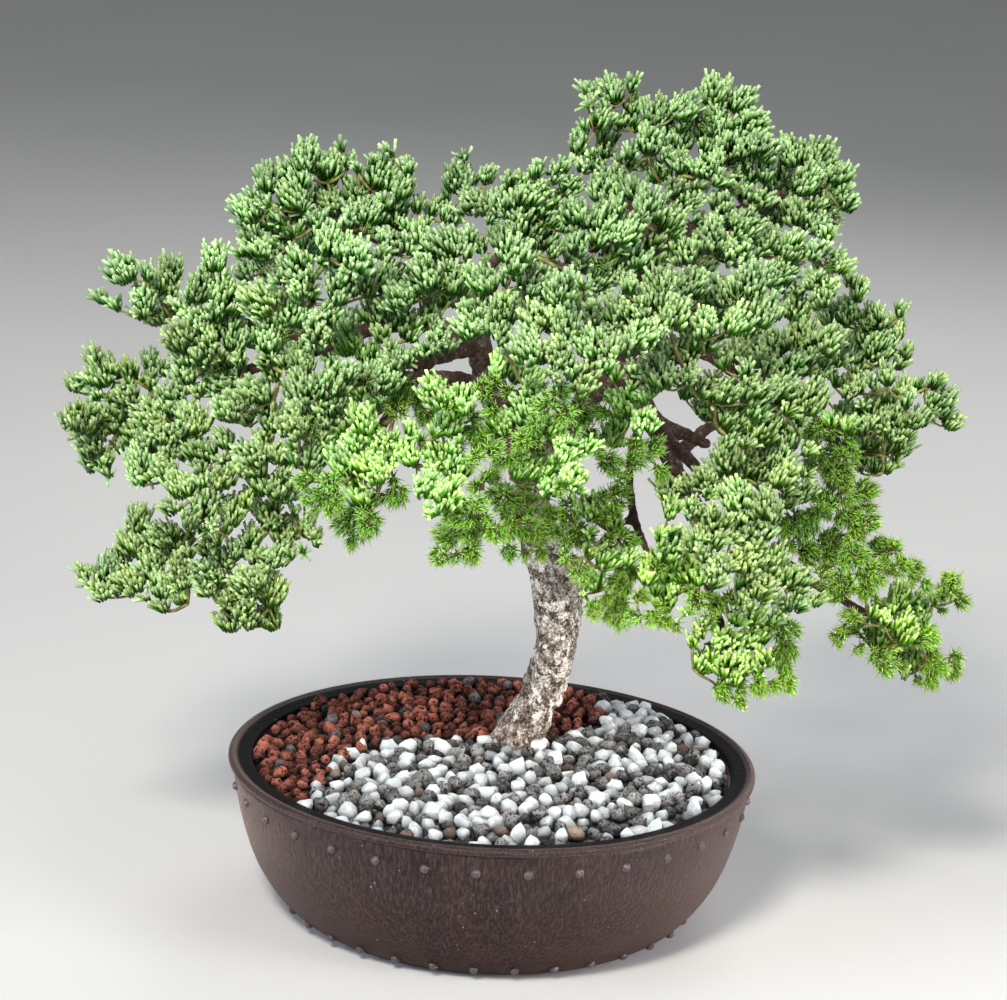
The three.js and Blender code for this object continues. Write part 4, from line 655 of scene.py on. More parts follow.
@dataclass(frozen=True)
class Stoneware:
    """Unglazed dark brown stoneware wiped in fine upright strokes, dull sheen, redder painted shade low
    down.
    """

    body: str = "281814"
    dark: str = "1b100c"
    # Painted shade with warm bounce light: the lower wall darker and redder
    low: str = "2e180c"
    bloom: str = "55484a"
    # Painted shade for the flat lip and the inside
    lip: str = "100f0f"
    # A painted highlight that makes the nail heads paler
    nail_highlight: str = "463c3e"
    speck: str = "a59c98"
    dust: str = "dcbcae"
    roughness: float = 0.38
    lip_radius: float = 0.1465

    def build(self) -> Material:
        """Makes the material."""
        material, tree, shader, place = start_material("unglazed_stoneware")
        height = add_node(tree, SPLIT, [place], "Z")
        cloud = add_node(tree, NOISE, [place, None, per_metre(30), 4, 0.6])
        smear = add_node(tree, MAPPING, {"Vector": place, "Scale": (1.0, 1.0, 0.16)})
        strokes = add_node(tree, NOISE, [smear, None, per_metre(1.3), 4, 0.72])
        # The flat lip and the inside get a painted shade that makes them near black
        flat = add_node(tree, VECTOR_MATH, [place, (1.0, 1.0, 0.0)], operation="MULTIPLY")
        reach = add_node(tree, VECTOR_MATH, [flat], "Value", operation="LENGTH")
        inward = add_node(tree, RANGE, [reach, self.lip_radius + 0.002, self.lip_radius])
        high = add_node(tree, RANGE, [height, 0.084, 0.0875])
        rim = add_node(tree, MATH, [inward, high], operation="MULTIPLY")
        grains = add_node(tree, CELLS, [place, None, per_metre(5.5)])
        specks = add_node(tree, RANGE, [grains, 0.05, 0.11, 0.8, 0.0])
        scarce = add_node(tree, RANGE, [
            add_node(tree, NOISE, [place, None, per_metre(16), 2, 0.5]), 0.52, 0.62])
        speckle = add_node(tree, MATH, [specks, scarce], operation="MULTIPLY")
        # The nail heads stand proud: they are painted paler as a painted highlight on their domes, and
        # made shinier
        proud = add_node(tree, ATTRIBUTE, out="Fac", attribute_name="proud")
        # Low down the wall takes the low colour: painted shade with warm bounce light, darker and redder
        colour = lay_coats(
            tree, self.low, (height, 0.012, 0.062, 1.0, self.body), (cloud, 0.4, 0.64, 0.8, self.dark),
            (strokes, 0.46, 0.72, 0.7, self.bloom), (rim, 0.0, 1.0, 1.0, self.lip),
            (speckle, 0.0, 1.0, 1.0, self.speck), (proud, 0.3, 1.0, 0.8, self.nail_highlight))
        shine = add_node(tree, RANGE, [strokes, 0.35, 0.7, self.roughness - 0.06, self.roughness + 0.16])
        shine = add_node(tree, MATH, [
            shine, add_node(tree, RANGE, [proud, 0.0, 1.0, 0.0, -0.16])], operation="ADD")
        # Clay dust gives the wiped wall a soft grey sheen; the foot and the lip stay dull
        off_foot = add_node(tree, RANGE, [height, 0.012, 0.058, 0.06, 1.0])
        off_lip = add_node(tree, RANGE, [rim, 0.0, 1.0, 1.0, 0.0])
        dusty = add_node(tree, MATH, [off_foot, off_lip], operation="MULTIPLY")
        gloss = add_node(tree, MATH, [
            add_node(tree, RANGE, [dusty, 0.0, 1.0, 0.03, 0.23]),
            add_node(tree, RANGE, [proud, 0.0, 1.0, 0.0, 0.45])], operation="ADD")
        # Coarse grog in the clay lifts the skin in low pimples that catch the light
        grog = add_node(tree, NOISE, [place, None, per_metre(2.4), 3, 0.62])
        grain = add_node(tree, MATH, [grog, strokes], operation="ADD")
        feed(shader, {
            "Base Color": colour, "Roughness": shine, "Specular IOR Level": gloss,
            "Sheen Weight": add_node(tree, RANGE, [dusty, 0.0, 1.0, 0.0, 0.31]),
            "Sheen Roughness": 0.35, "Sheen Tint": linear(self.dust), "Normal": add_node(
                tree, BUMP, {"Height": grain, "Distance": 0.7 * METRE, "Strength": 0.75})})
        return material


@dataclass(frozen=True)
class PorousStone:
    """Crushed volcanic stone: dull and rough, its broken faces pitted with small open pores."""

    name: str
    face: str
    pale: str
    pit: str
    pore_mm: float
    depth_mm: float
    pore_share: float

    def build(self) -> Material:
        """Makes the material."""
        material, tree, shader, place = start_material(self.name)
        tint = add_node(tree, ATTRIBUTE, out="Fac", attribute_name="tint")
        mottle = add_node(tree, NOISE, [place, None, per_metre(self.pore_mm * 1.6), 4, 0.75])
        pores = add_node(tree, NOISE, [place, None, per_metre(self.pore_mm), 4, 0.72])
        colour = lay_coats(
            tree, self.face, (tint, 0.0, 1.0, 1.0, self.pale), (mottle, 0.46, 0.66, 0.6, self.pale),
            (pores, self.pore_share, self.pore_share - 0.07, 1.0, self.pit))
        # Painted shade: the stones are darkened where they lie deep between their neighbours
        deep = add_node(tree, ATTRIBUTE, out="Fac", attribute_name="deep")
        colour = add_node(tree, MIX, {0: deep, 6: colour, 7: linear(self.pit)}, 2,
                          data_type="RGBA", blend_type="MULTIPLY")
        relief = add_node(tree, BUMP, {
            "Height": pores, "Distance": self.depth_mm * METRE, "Strength": 0.9})
        feed(shader, {
            "Base Color": colour, "Roughness": 0.92, "Specular IOR Level": 0.25, "Normal": relief})
        return material


@dataclass(frozen=True)
class FlakyBark:
    """Old juniper bark: papery grey and brown flakes a few millimetres wide over red-brown wood."""

    flake: str = "f2f1e8"
    grey: str = "b8b1a5"
    brown: str = "85766a"
    red: str = "70564a"
    bud: str = "5a4336"
    crack: str = "35281f"
    flake_mm: float = 3.0

    def build(self) -> Material:
        """Makes the material, with a shade of its own for each flake and dark seams between them."""
        material, tree, shader, place = start_material("flaky_juniper_bark")
        relief = add_node(tree, ATTRIBUTE, out="Fac", attribute_name="relief")
        age = add_node(tree, ATTRIBUTE, out="Fac", attribute_name="age")
        wander = add_node(tree, NOISE, [place, None, per_metre(2.4), 4.0], "Color")
        shift = add_node(tree, VECTOR_MATH, [wander, (0.006, 0.006, 0.006)], operation="MULTIPLY")
        torn = add_node(tree, VECTOR_MATH, [place, shift], operation="ADD")
        tall = add_node(tree, MAPPING, {"Vector": torn, "Scale": (1.0, 1.0, 0.62)})
        flakes = [tall, None, per_metre(self.flake_mm)]
        own = add_node(tree, "ShaderNodeSeparateColor", [add_node(tree, CELLS, flakes, "Color")])
        fibres = add_node(tree, NOISE, [place, None, per_metre(1.7), 5, 0.8])
        shade = add_node(tree, MATH, [
            add_node(tree, RANGE, [own, 0.0, 1.0, 0.0, 0.6]),
            add_node(tree, RANGE, [fibres, 0.32, 0.68])], operation="ADD")
        shade = add_node(tree, MATH, [
            shade, add_node(tree, RANGE, [relief, 0.0, 1.0, -0.2, 0.2])], operation="ADD")
        level = add_node(tree, RANGE, [shade, 0.2, 1.4])
        old = lay_coats(
            tree, self.crack, (level, 0.14, 0.24, 1.0, self.brown), (level, 0.24, 0.5, 1.0, self.grey),
            (level, 0.5, 0.62, 1.0, self.flake))
        young = lay_coats(
            tree, self.crack, (level, 0.0, 0.4, 1.0, self.bud), (level, 0.4, 0.75, 1.0, self.red),
            (level, 0.75, 1.0, 1.0, self.grey))
        edges = add_node(tree, CELLS, flakes, feature="DISTANCE_TO_EDGE")
        torn_open = add_node(tree, RANGE, [
            add_node(tree, NOISE, [place, None, per_metre(7), 2, 0.5]), 0.42, 0.6])
        seam = add_node(tree, MATH, [
            add_node(tree, RANGE, [edges, 0.04, 0.17, 0.85, 0.0]), torn_open], operation="MULTIPLY")
        feed(shader, {
            "Base Color": lay_coats(
                tree, young, (age, 0.0, 1.0, 1.0, old), (seam, 0.0, 1.0, 1.0, self.crack)),
            "Roughness": 0.86, "Specular IOR Level": 0.3, "Normal": add_node(
                tree, BUMP, {"Height": shade, "Distance": 0.9 * METRE, "Strength": 0.8})})
        return material


@dataclass(frozen=True)
class JuniperShoot:
    """Juniper shoots under a thin wax: dull green, paler at the growing tips partly as painted highlight,
    with painted shade.
    """

    name: str
    # The base colour is painted shade where the shoots join their stems
    base: str
    cool: str
    warm: str
    cool_tip: str
    warm_tip: str
    relief_mm: float
    dim: float
    lit: float

    def build(self) -> Material:
        """Makes the material from each shoot's tint, mostly painted shade, its warmth and the way along
        it.
        """
        material, tree, shader, place = start_material(self.name)
        along, tint, warmth = (add_node(tree, ATTRIBUTE, out="Fac", attribute_name=name)
                               for name in ("along", "tint", "warmth"))
        body = lay_coats(tree, self.cool, (warmth, 0.0, 1.0, 1.0, self.warm))
        tip = lay_coats(tree, self.cool_tip, (warmth, 0.0, 1.0, 1.0, self.warm_tip))
        # Paler towards the tip, partly the young growth's own colour and partly painted highlight; the
        # base colour near the stem is painted shade
        colour = lay_coats(tree, body, (along, 0.28, 0.95, 0.92, tip), (along, 0.35, 0.0, 0.85, self.base))
        # The tint scales the lightness: painted shade deep in each tuft, and random tone
        light = add_node(tree, RANGE, [tint, 0.0, 1.0, self.dim, self.lit])
        bright = add_node(tree, "ShaderNodeHueSaturation", {
            "Saturation": 1.24, "Value": light, "Color": colour})
        # The scales are about a millimetre long
        scales = add_node(tree, CELLS, [place, None, per_metre(1.1)])
        relief = add_node(tree, BUMP, {
            "Height": scales, "Distance": self.relief_mm * METRE, "Strength": 0.7})
        feed(shader, {
            "Base Color": bright, "Roughness": 0.42, "Specular IOR Level": 0.3, "Normal": relief})
        return material


@dataclass(frozen=True)
class MottledSkin:
    """A plain surface in two shades that drift into each other, with fine relief."""

    name: str
    shade: str
    other: str
    # The drifting pattern: size in millimetres, detail, roughness, and where the other shade starts
    # and is full
    drift: tuple[float, float, float, float, float]
    # The relief: size in millimetres, detail, roughness, depth in millimetres and strength
    grain: tuple[float, float, float, float, float]
    roughness: float

    def build(self) -> Material:
        """Makes the material."""
        material, tree, shader, place = start_material(self.name)
        size, detail, rough, start, full = self.drift
        drift = add_node(tree, NOISE, [place, None, per_metre(size), detail, rough])
        size, detail, rough, depth, strength = self.grain
        grain = add_node(tree, NOISE, [place, None, per_metre(size), detail, rough])
        feed(shader, {
            "Base Color": lay_coats(tree, self.shade, (drift, start, full, 1.0, self.other)),
            "Roughness": self.roughness, "Normal": add_node(tree, BUMP, {
                "Height": grain, "Distance": depth * METRE, "Strength": strength})})
        return material


# The young wood that carries the shoots is smooth, yellow-green and brown drifting into each other
GREEN_STEM = MottledSkin("young_juniper_stem", "5a4632", "8f9448", (7, 3, 0.6, 0.38, 0.62),
                         (0.9, 3, 0.6, 0.2, 0.5), 0.6)
# Moulded black polypropylene is slightly glossy, with a faint texture from the mould
MOULDED_MESH = MottledSkin("moulded_drain_mesh", "1b1b1c", "343436", (4, 3, 0.5, 0.45, 0.7),
                           (0.5, 2, 0.5, 0.05, 0.5), 0.5)
# The plain matt sweep of a studio
PALE_FLOOR = MottledSkin("pale_studio_floor", "c2c2c0", "cacac8", (400, 2, 0.5, 0.0, 1.0),
                         (400, 2, 0.5, 0.0, 0.0), 0.85)


def damp_crumbs(name: str, dark: str, crumb: str) -> MottledSkin:
    """Gives the finish of damp bark and grit: near black and crumbly, with paler grains, and under the
    stones partly painted shade.

    Args:
        name: the material's name.
        dark: the hex colour of its hollows.
        crumb: the hex colour of its grains.

    Returns:
        The finish.
    """
    return MottledSkin(name, dark, crumb, (2.5, 6, 0.75, 0.35, 0.68), (2.5, 6, 0.75, 1.2, 1.0), 0.95)


# The pot and what it holds


@dataclass
class Pot:
    """The round bowl: a beaded rim, a flat inner lip, two rows of nail heads and three drain holes."""

    sides: int = 240
    rim_radius: float = 152.5
    height: float = 91.0
    bead_height: float = 4.6
    bead_depth: float = 3.0
    bead_steps: int = 12
    drain_radius: float = 9.0
    drain_circle: float = 50.0
    drains: int = 3
    nails: int = 33
    nail_radius: float = 2.8
    nail_rise: float = 1.0
    nail_phase: float = 6.05
    # Each row of nail heads: height, radius where it stands and how much the wall leans in there
    rows: tuple[tuple[float, float, float], ...] = ((75.5, 148.2, 0.16), (7.6, 118.4, 0.95))
    wall: tuple[tuple[float, float], ...] = (
        (104, 0), (107.6, 0.5), (111, 2.2), (115.3, 5), (119, 8), (123.2, 12.4), (127, 17),
        (131.6, 23.8), (135.6, 31), (139.4, 40), (142.6, 50), (145.3, 60), (147.4, 70),
        (148.9, 79), (149.5, 83.5), (149.6, 85.4), (149.2, 86.1),
    )
    inside: tuple[tuple[float, float], ...] = (
        (148.9, 90.6), (148.2, 90.1), (145.2, 89.7), (140.6, 89.5), (139.1, 89.2), (138.4, 88.2),
        (137.8, 84),
        (134.6, 66), (130, 46), (121, 28), (110, 14), (104, 9),
    )

    def profile(self) -> list[tuple[float, float]]:
        """Gives the wall's outline from the underside round the rim to the inside floor."""
        middle = self.height - self.bead_height / 2
        bead = []
        for step in range(self.bead_steps + 1):
            angle = math.pi * (step / self.bead_steps - 0.5)
            bead.append((self.rim_radius - self.bead_depth * (1 - math.cos(angle)),
                         middle + self.bead_height / 2 * math.sin(angle)))
        return [*self.wall, *bead, *self.inside]

    def turned(self) -> Object:
        """Turns the outline round the pot's axis and closes both ends at the axis."""
        outline, sides = self.profile(), self.sides
        angles = np.arange(sides) * 2 * math.pi / sides
        ring = np.stack((np.cos(angles), np.sin(angles)), axis=1)
        rows = [np.column_stack((ring * out, np.full(sides, up))) for out, up in outline]
        points = np.vstack((*rows, [(0, 0, 0)], [(0, 0, outline[-1][1])]))
        faces = ring_faces(len(outline), sides)
        last = (len(outline) - 1) * sides
        for k in range(sides):
            after = (k + 1) % sides
            faces.append((len(points) - 2, after, k))
            faces.append((len(points) - 1, last + k, last + after))
        builder = MeshBuilder()
        builder.add(points, faces)
        mesh = builder.mesh("pot")
        mesh.shade_smooth()
        return new_object("pot", mesh)

    def drain_centres(self) -> list[tuple[float, float]]:
        """Gives the places of the drain holes."""
        angles = [math.pi / 2 + k * 2 * math.pi / self.drains for k in range(self.drains)]
        return [(self.drain_circle * math.cos(a), self.drain_circle * math.sin(a)) for a in angles]

    def drill(self, pot: Object) -> None:
        """Cuts the drain holes through the floor.

        Args:
            pot: the turned pot.
        """
        builder = MeshBuilder()
        for x, y in self.drain_centres():
            course = np.array(((x, y, -4, self.drain_radius), (x, y, 14, self.drain_radius)), float)
            builder.tube(course, 40)
        cutter = new_object("drain_cutter", builder.mesh("drain_cutter"))
        cut = pot.modifiers.new("drains", "BOOLEAN")
        cut.object, cut.operation, cut.solver = cutter, "DIFFERENCE", "EXACT"
        settle(pot)
        bpy.data.objects.remove(cutter)

    def nail_head(self) -> Object:
        """Makes one low round nail head, standing on the plane of its own origin."""
        builder = MeshBuilder()
        turns, rings = 12, 4
        angles = np.arange(turns) * 2 * math.pi / turns
        rows = []
        for ring in range(rings):
            lift = (ring / rings) * math.pi / 2
            out, up = self.nail_radius * math.cos(lift), self.nail_radius * math.sin(lift)
            rows.append(np.column_stack((np.cos(angles) * out, np.sin(angles) * out,
                                         np.full(turns, up * self.nail_rise - 0.3))))
        top = (0, 0, self.nail_radius * self.nail_rise - 0.3)
        points = np.vstack((*rows, [top]))
        faces = [tuple(reversed(range(turns))), *ring_faces(rings, turns)]
        last = (rings - 1) * turns
        faces.extend((last + k, last + (k + 1) % turns, len(points) - 1) for k in range(turns))
        builder.add(points, faces)
        mesh = builder.mesh("nail_head")
        mesh.shade_smooth()
        # Marks the nail heads for their painted highlight and their shine
        write_attribute(mesh, "proud", np.ones(len(mesh.vertices)))
        return new_object("nail_head", mesh)

    def nail_tree(self) -> NodeTree:
        """Builds the tree that sets a ring of heads square on the wall."""
        tree, given, result = geometry_tree("set_nail_heads", {
            "Head": "Object", "Count": "Int", "Row Radius": "Float", "Row Height": "Float",
            "Phase": "Float", "Lean": "Float", "Finish": "Material"})
        ring = add_node(tree, "GeometryNodeMeshCircle", {
            "Vertices": given["Count"], "Radius": given["Row Radius"]})
        row = add_node(tree, "GeometryNodeTransform", {
            "Geometry": ring, "Translation": add_node(tree, COMBINE, {"Z": given["Row Height"]}),
            "Rotation": add_node(tree, COMBINE, {"Z": given["Phase"]})})
        place = add_node(tree, "GeometryNodeInputPosition")
        flat = add_node(tree, VECTOR_MATH, [place, (1.0, 1.0, 0.0)], operation="MULTIPLY")
        outward = add_node(tree, VECTOR_MATH, [flat], operation="NORMALIZE")
        lean = add_node(tree, MATH, [given["Lean"], -1.0], operation="MULTIPLY")
        down = add_node(tree, COMBINE, {"Z": lean})
        normal = add_node(tree, VECTOR_MATH, [outward, down], operation="ADD")
        aim = add_node(tree, "FunctionNodeAlignRotationToVector", {"Vector": normal}, axis="Z")
        head = add_node(tree, "GeometryNodeObjectInfo", {"Object": given["Head"]}, "Geometry")
        heads = add_node(tree, INSTANCES, {"Points": row, "Instance": head, "Rotation": aim})
        joined = add_node(tree, JOIN, {"Geometry": [heads, given["Geometry"]]})
        feed(result, [dressed(tree, joined, given["Finish"])])
        return tree

    def build(self) -> None:
        """Makes the dressed pot."""
        clay = Stoneware().build()
        pot = self.turned()
        self.drill(pot)
        pot.data.shade_smooth()
        head, tree = self.nail_head(), self.nail_tree()
        for up, out, lean in self.rows:
            add_modifier_tree(pot, tree, {
                "Head": head, "Count": self.nails, "Row Radius": out * METRE,
                "Row Height": up * METRE, "Phase": math.radians(self.nail_phase), "Lean": lean,
                "Finish": clay})
        settle(pot)
        bpy.data.objects.remove(head)
        seat(pot, "pot")


@dataclass
class DrainScreens:
    """Squares of plastic mesh over the drain holes, under the soil."""

    side: float = 32.0
    thickness: float = 1.2
    bottom: float = 9.35
    bars: int = 11
    bar_width: float = 0.9

    def build(self, centres: Sequence[tuple[float, float]]) -> None:
        """Makes one screen of crossed bars over each hole.

        Args:
            centres: the places of the drain holes.
        """
        plastic = MOULDED_MESH.build()
        middle = self.bottom + self.thickness / 2
        for number, (x, y) in enumerate(centres, 1):
            builder = MeshBuilder()
            for k in range(self.bars):
                shift = (k / (self.bars - 1) - 0.5) * (self.side - self.bar_width)
                self.bar(builder, (x + shift, y, middle), (self.bar_width, self.side))
                self.bar(builder, (x, y + shift, middle), (self.side, self.bar_width))
            screen = new_object(f"drain_mesh_{number}", builder.mesh(f"drain_mesh_{number}"), plastic)
            seat(screen, f"drain_screen_{number}")

    def bar(
        self, builder: MeshBuilder, centre: tuple[float, float, float], size: tuple[float, float]
    ) -> None:
        """Adds one bar with eight corners.

        Args:
            builder: the mesh being made.
            centre: the bar's middle.
            size: its width across and back.
        """
        corners = np.array([(i, j, k) for k in (-1, 1) for j in (-1, 1) for i in (-1, 1)], float)
        half = np.array((size[0], size[1], self.thickness)) / 2
        faces = ((0, 2, 3, 1), (4, 5, 7, 6), (0, 1, 5, 4), (2, 6, 7, 3), (0, 4, 6, 2), (1, 3, 7, 5))
        builder.add(corners * half + np.array(centre), faces)


def bed_height(x: Array, y: Array) -> Array:
    """Gives the stones' level: higher at the back and round the trunk, lower at the pot's wall.

    Args:
        x: places across.
        y: places back.

    Returns:
        The level at each place.
    """
    radius = 135.2
    far = np.hypot(x, y) / radius
    near = np.hypot(x - 13, y - 20) / 30
    return 94 + 3 * (y / radius) - 3.5 * far ** 4 + 4 * np.exp(-near ** 2)


def inside_edge(x: float, y: float, edge: Sequence[tuple[float, float]]) -> bool:
    """Tells whether a place is inside a closed outline.

    Args:
        x: the place across.
        y: the place back.
        edge: the outline's corners.

    Returns:
        True inside the outline.
    """
    inside = False
    for k, (ax, ay) in enumerate(edge):
        bx, by = edge[k - 1]
        if (ay > y) != (by > y) and x < (bx - ax) * (y - ay) / (by - ay) + ax:
            inside = not inside
    return inside


@dataclass(frozen=True)
class StoneKind:
    """One kind of stone in a bed: its finish, its shapes and the share of places that it takes."""

    name: str
    finish: PorousStone
    share: tuple[float, float]
    size: tuple[float, float]
    crag: float
    cuts: int
    seed: int


@dataclass
class StoneBed:
    """A bed of loose stones scattered over a low fill of grit, in the place of one CAD node."""

    node: str
    slot: str
    red: bool
    kinds: tuple[StoneKind, ...]
    spacing: float = 7.9
    cell: float = 4.0
    radius: float = 134.4
    drop: float = 6.4
    bottom: float = 77.4
    rise: tuple[float, float] = (1.4, 4.6)
    trunk: tuple[float, float, float] = (14.0, 19.5, 14.0)
    # The grit's colours: its near black is partly the damp grit's own colour and partly painted shade
    # between the stones
    grit: tuple[str, str] = ("17171a", "3c3b3a")
    shapes: int = 7
    # The loose upper stones and the smaller ones that show between them: spacing, size and sink
    layers: tuple[tuple[float, float, float], ...] = ((1.0, 1.0, 0.0), (0.8, 0.72, 0.004))
    # The heights from the bed's level where the painted shade on the stones is darkest and where it ends
    shade: tuple[float, float] = (-4.6, 0.8)
    seed: int = 5

    def holds(self, x: float, y: float) -> bool:
        """Tells whether a place belongs to this bed."""
        tx, ty, clear = self.trunk
        if math.hypot(x, y) > self.radius or math.hypot(x - tx, y - ty) < clear:
            return False
        return inside_edge(x, y, LAVA_EDGE) == self.red

    def fill(self) -> Object:
        """Makes the closed slab of grit under the stones; its near black is partly painted shade."""
        reach = int(self.radius / self.cell) + 1
        cells = {(i, j) for i in range(-reach, reach) for j in range(-reach, reach)
                 if self.holds((i + 0.5) * self.cell, (j + 0.5) * self.cell)}
        numbers: dict[tuple[int, int, int], int] = {}
        points: list[tuple[float, float, float]] = []

        def corner(i: int, j: int, top: int) -> int:
            """Gives the number of a grid corner, on top or below."""
            key = (i, j, top)
            if key not in numbers:
                x, y = i * self.cell, j * self.cell
                numbers[key] = len(points)
                high = float(bed_height(np.array(x), np.array(y))) - self.drop
                high += 1.6 * noise.noise(Vector((x / 9, y / 9, 3.7)))
                points.append((x, y, high if top else self.bottom))
            return numbers[key]

        faces: list[tuple[int, ...]] = []
        for i, j in sorted(cells):
            around = ((i, j), (i + 1, j), (i + 1, j + 1), (i, j + 1))
            faces.append(tuple(corner(*c, 1) for c in around))
            faces.append(tuple(corner(*c, 0) for c in reversed(around)))
            beside = ((i, j - 1), (i + 1, j), (i, j + 1), (i - 1, j))
            for k, neighbour in enumerate(beside):
                if neighbour not in cells:
                    a, b = around[k], around[(k + 1) % 4]
                    faces.append((corner(*b, 1), corner(*a, 1), corner(*a, 0), corner(*b, 0)))
        builder = MeshBuilder()
        builder.add(np.array(points), faces)
        mesh = builder.mesh(self.node + "_fill")
        return new_object(mesh.name, mesh, damp_crumbs(self.node + "_grit", *self.grit).build())

    def stone(self, kind: StoneKind, number: int) -> Object:
        """Makes one broken stone, about one millimetre in radius, from a lumpy ball cut by planes.

        Args:
            kind: the kind of stone.
            number: which shape of the kind.

        Returns:
            The stone's object.
        """
        shape_seed = kind.seed * 100 + number
        random = np.random.default_rng(shape_seed)
        mesh = bpy.data.meshes.new(f"{kind.name}_{number}")
        fill_with_ball(mesh)
        points = np.array([v.co for v in mesh.vertices])
        for row, point in enumerate(points):
            lump = noise.noise(Vector(point) * 1.4 + Vector((shape_seed, 0, 0)))
            crag = noise.noise(Vector(point) * 3.1 + Vector((0, shape_seed, 0)))
            points[row] = point * (1 + 0.22 * lump + kind.crag * crag)
        for _ in range(kind.cuts):
            normal = random.normal(size=3)
            normal /= np.linalg.norm(normal)
            over = points @ normal - random.uniform(0.62, 0.86)
            points -= np.outer(np.maximum(over, 0), normal)
        points *= random.uniform((0.8, 0.8, 0.62), (1.15, 1.0, 0.86))
        mesh.vertices.foreach_set("co", (points * METRE).ravel())
        mesh.update()
        return new_object(mesh.name, mesh)

    def scatter_tree(self) -> NodeTree:
        """Builds the tree that scatters one kind of stone over the fill's upper faces."""
        tree, given, result = geometry_tree("scatter_stones", {
            "Stones": "Collection", "Spacing": "Float", "Smallest": "Float", "Largest": "Float",
            "Lowest": "Float", "Highest": "Float", "Seed": "Int", "From": "Float", "To": "Float",
            "Finish": "Material"})
        stones = [self.layer(tree, given, number, *layer) for number, layer in enumerate(self.layers)]
        joined = add_node(tree, JOIN, {"Geometry": stones})
        feed(result, [dressed(tree, joined, given["Finish"])])
        return tree

    def layer(
        self, tree: NodeTree, given: dict[str, NodeSocket], number: int, spread: float,
        shrink: float, sink: float,
    ) -> NodeSocket:
        """Adds the nodes that scatter one layer.

        Args:
            tree: the scattering tree.
            given: its inputs.
            number: which layer it is.
            spread: the layer's share of the spacing.
            shrink: the layer's share of the stones' size.
            sink: how far below the level it lies, in metres.

        Returns:
            The layer's stones as instances.
        """
        def scaled(socket: NodeSocket, by: float, plus: float = 0.0) -> NodeSocket:
            """Multiplies a value and adds another."""
            return add_node(tree, MATH, [socket, by, plus], operation="MULTIPLY_ADD")

        def draw(seed: int, low: object, high: object) -> NodeSocket:
            """Draws a number for each point."""
            return add_node(
                tree, RANDOM, {2: low, 3: high, "Seed": seed + 20 * number}, 1, data_type="FLOAT")

        def passes(value: NodeSocket, bound: object, how: str) -> NodeSocket:
            """Compares a value with a bound."""
            return add_node(tree, COMPARE, [value, bound], data_type="FLOAT", operation=how)

        facing = add_node(tree, SPLIT, [add_node(tree, "GeometryNodeInputNormal")], "Z")
        spots = add_node(tree, "GeometryNodeDistributePointsOnFaces", {
            "Mesh": given["Geometry"], "Selection": passes(facing, 0.5, "GREATER_THAN"),
            "Distance Min": scaled(given["Spacing"], spread), "Density Max": 150000.0,
            "Seed": scaled(given["Seed"], 1.0, float(number))}, distribute_method="POISSON")
        share = draw(11, 0.0, 1.0)
        other = add_node(tree, "FunctionNodeBooleanMath", [
            passes(share, given["From"], "LESS_THAN"), passes(share, given["To"], "GREATER_EQUAL")],
            operation="OR")
        own = add_node(tree, "GeometryNodeDeleteGeometry", {"Geometry": spots, "Selection": other},
                       domain="POINT")
        lift = scaled(draw(12, given["Lowest"], given["Highest"]), 1.0, -sink)
        moved = add_node(tree, "GeometryNodeSetPosition", {
            "Geometry": own, "Offset": add_node(tree, COMBINE, {"Z": lift})})
        shapes = add_node(tree, "GeometryNodeCollectionInfo", {
            "Collection": given["Stones"], "Separate Children": True, "Reset Children": True})
        turn = add_node(tree, RANDOM, {
            0: (0.0, 0.0, 0.0), 1: (6.28, 6.28, 6.28), "Seed": 13 + number}, data_type="FLOAT_VECTOR")
        size = draw(14, scaled(given["Smallest"], shrink), scaled(given["Largest"], shrink))
        placed = add_node(tree, INSTANCES, {
            "Points": moved, "Instance": shapes, "Pick Instance": True, "Rotation": turn,
            "Scale": size})
        return add_node(tree, "GeometryNodeStoreNamedAttribute", {
            "Geometry": placed, "Name": "tint", "Value": draw(15, 0.0, 1.0)},
            data_type="FLOAT", domain="INSTANCE")

    def paint_gap_shade(self, mesh: Mesh) -> None:
        """Writes how deep each point lies between the stones, for the finish's painted shade.

        Args:
            mesh: the stones' mesh.
        """
        x, y, z = read_rows(mesh, "co").T / METRE
        deep = np.clip((bed_height(x, y) + self.shade[1] - z) / (self.shade[1] - self.shade[0]), 0, 1)
        write_attribute(mesh, "deep", deep)

    def build(self) -> None:
        """Makes the fill and every kind of stone on it."""
        fill = self.fill()
        tree = self.scatter_tree()
        for kind in self.kinds:
            stones = bpy.data.collections.new(kind.name + "_shapes")
            shapes = [self.stone(kind, number) for number in range(self.shapes)]
            for shape in shapes:
                stones.objects.link(shape)
            piece = new_object(kind.name, fill.data.copy())
            add_modifier_tree(piece, tree, {
                "Stones": stones, "Spacing": self.spacing * METRE, "Smallest": kind.size[0],
                "Largest": kind.size[1], "Lowest": self.rise[0] * METRE,
                "Highest": self.rise[1] * METRE, "Seed": self.seed, "From": kind.share[0],
                "To": kind.share[1], "Finish": kind.finish.build()})
            settle(piece)
            self.paint_gap_shade(piece.data)
            for shape in shapes:
                bpy.data.objects.remove(shape)
            bpy.data.collections.remove(stones)
            seat(piece, self.node)
        seat(fill, self.node)


def fill_with_ball(mesh: Mesh) -> None:
    """Fills a mesh with an even ball of 80 faces and a radius of one.

    Args:
        mesh: the empty mesh.
    """
    shape = bmesh.new()
    bmesh.ops.create_icosphere(shape, subdivisions=2, radius=1.0)
    shape.to_mesh(mesh)
    shape.free()


# Wood


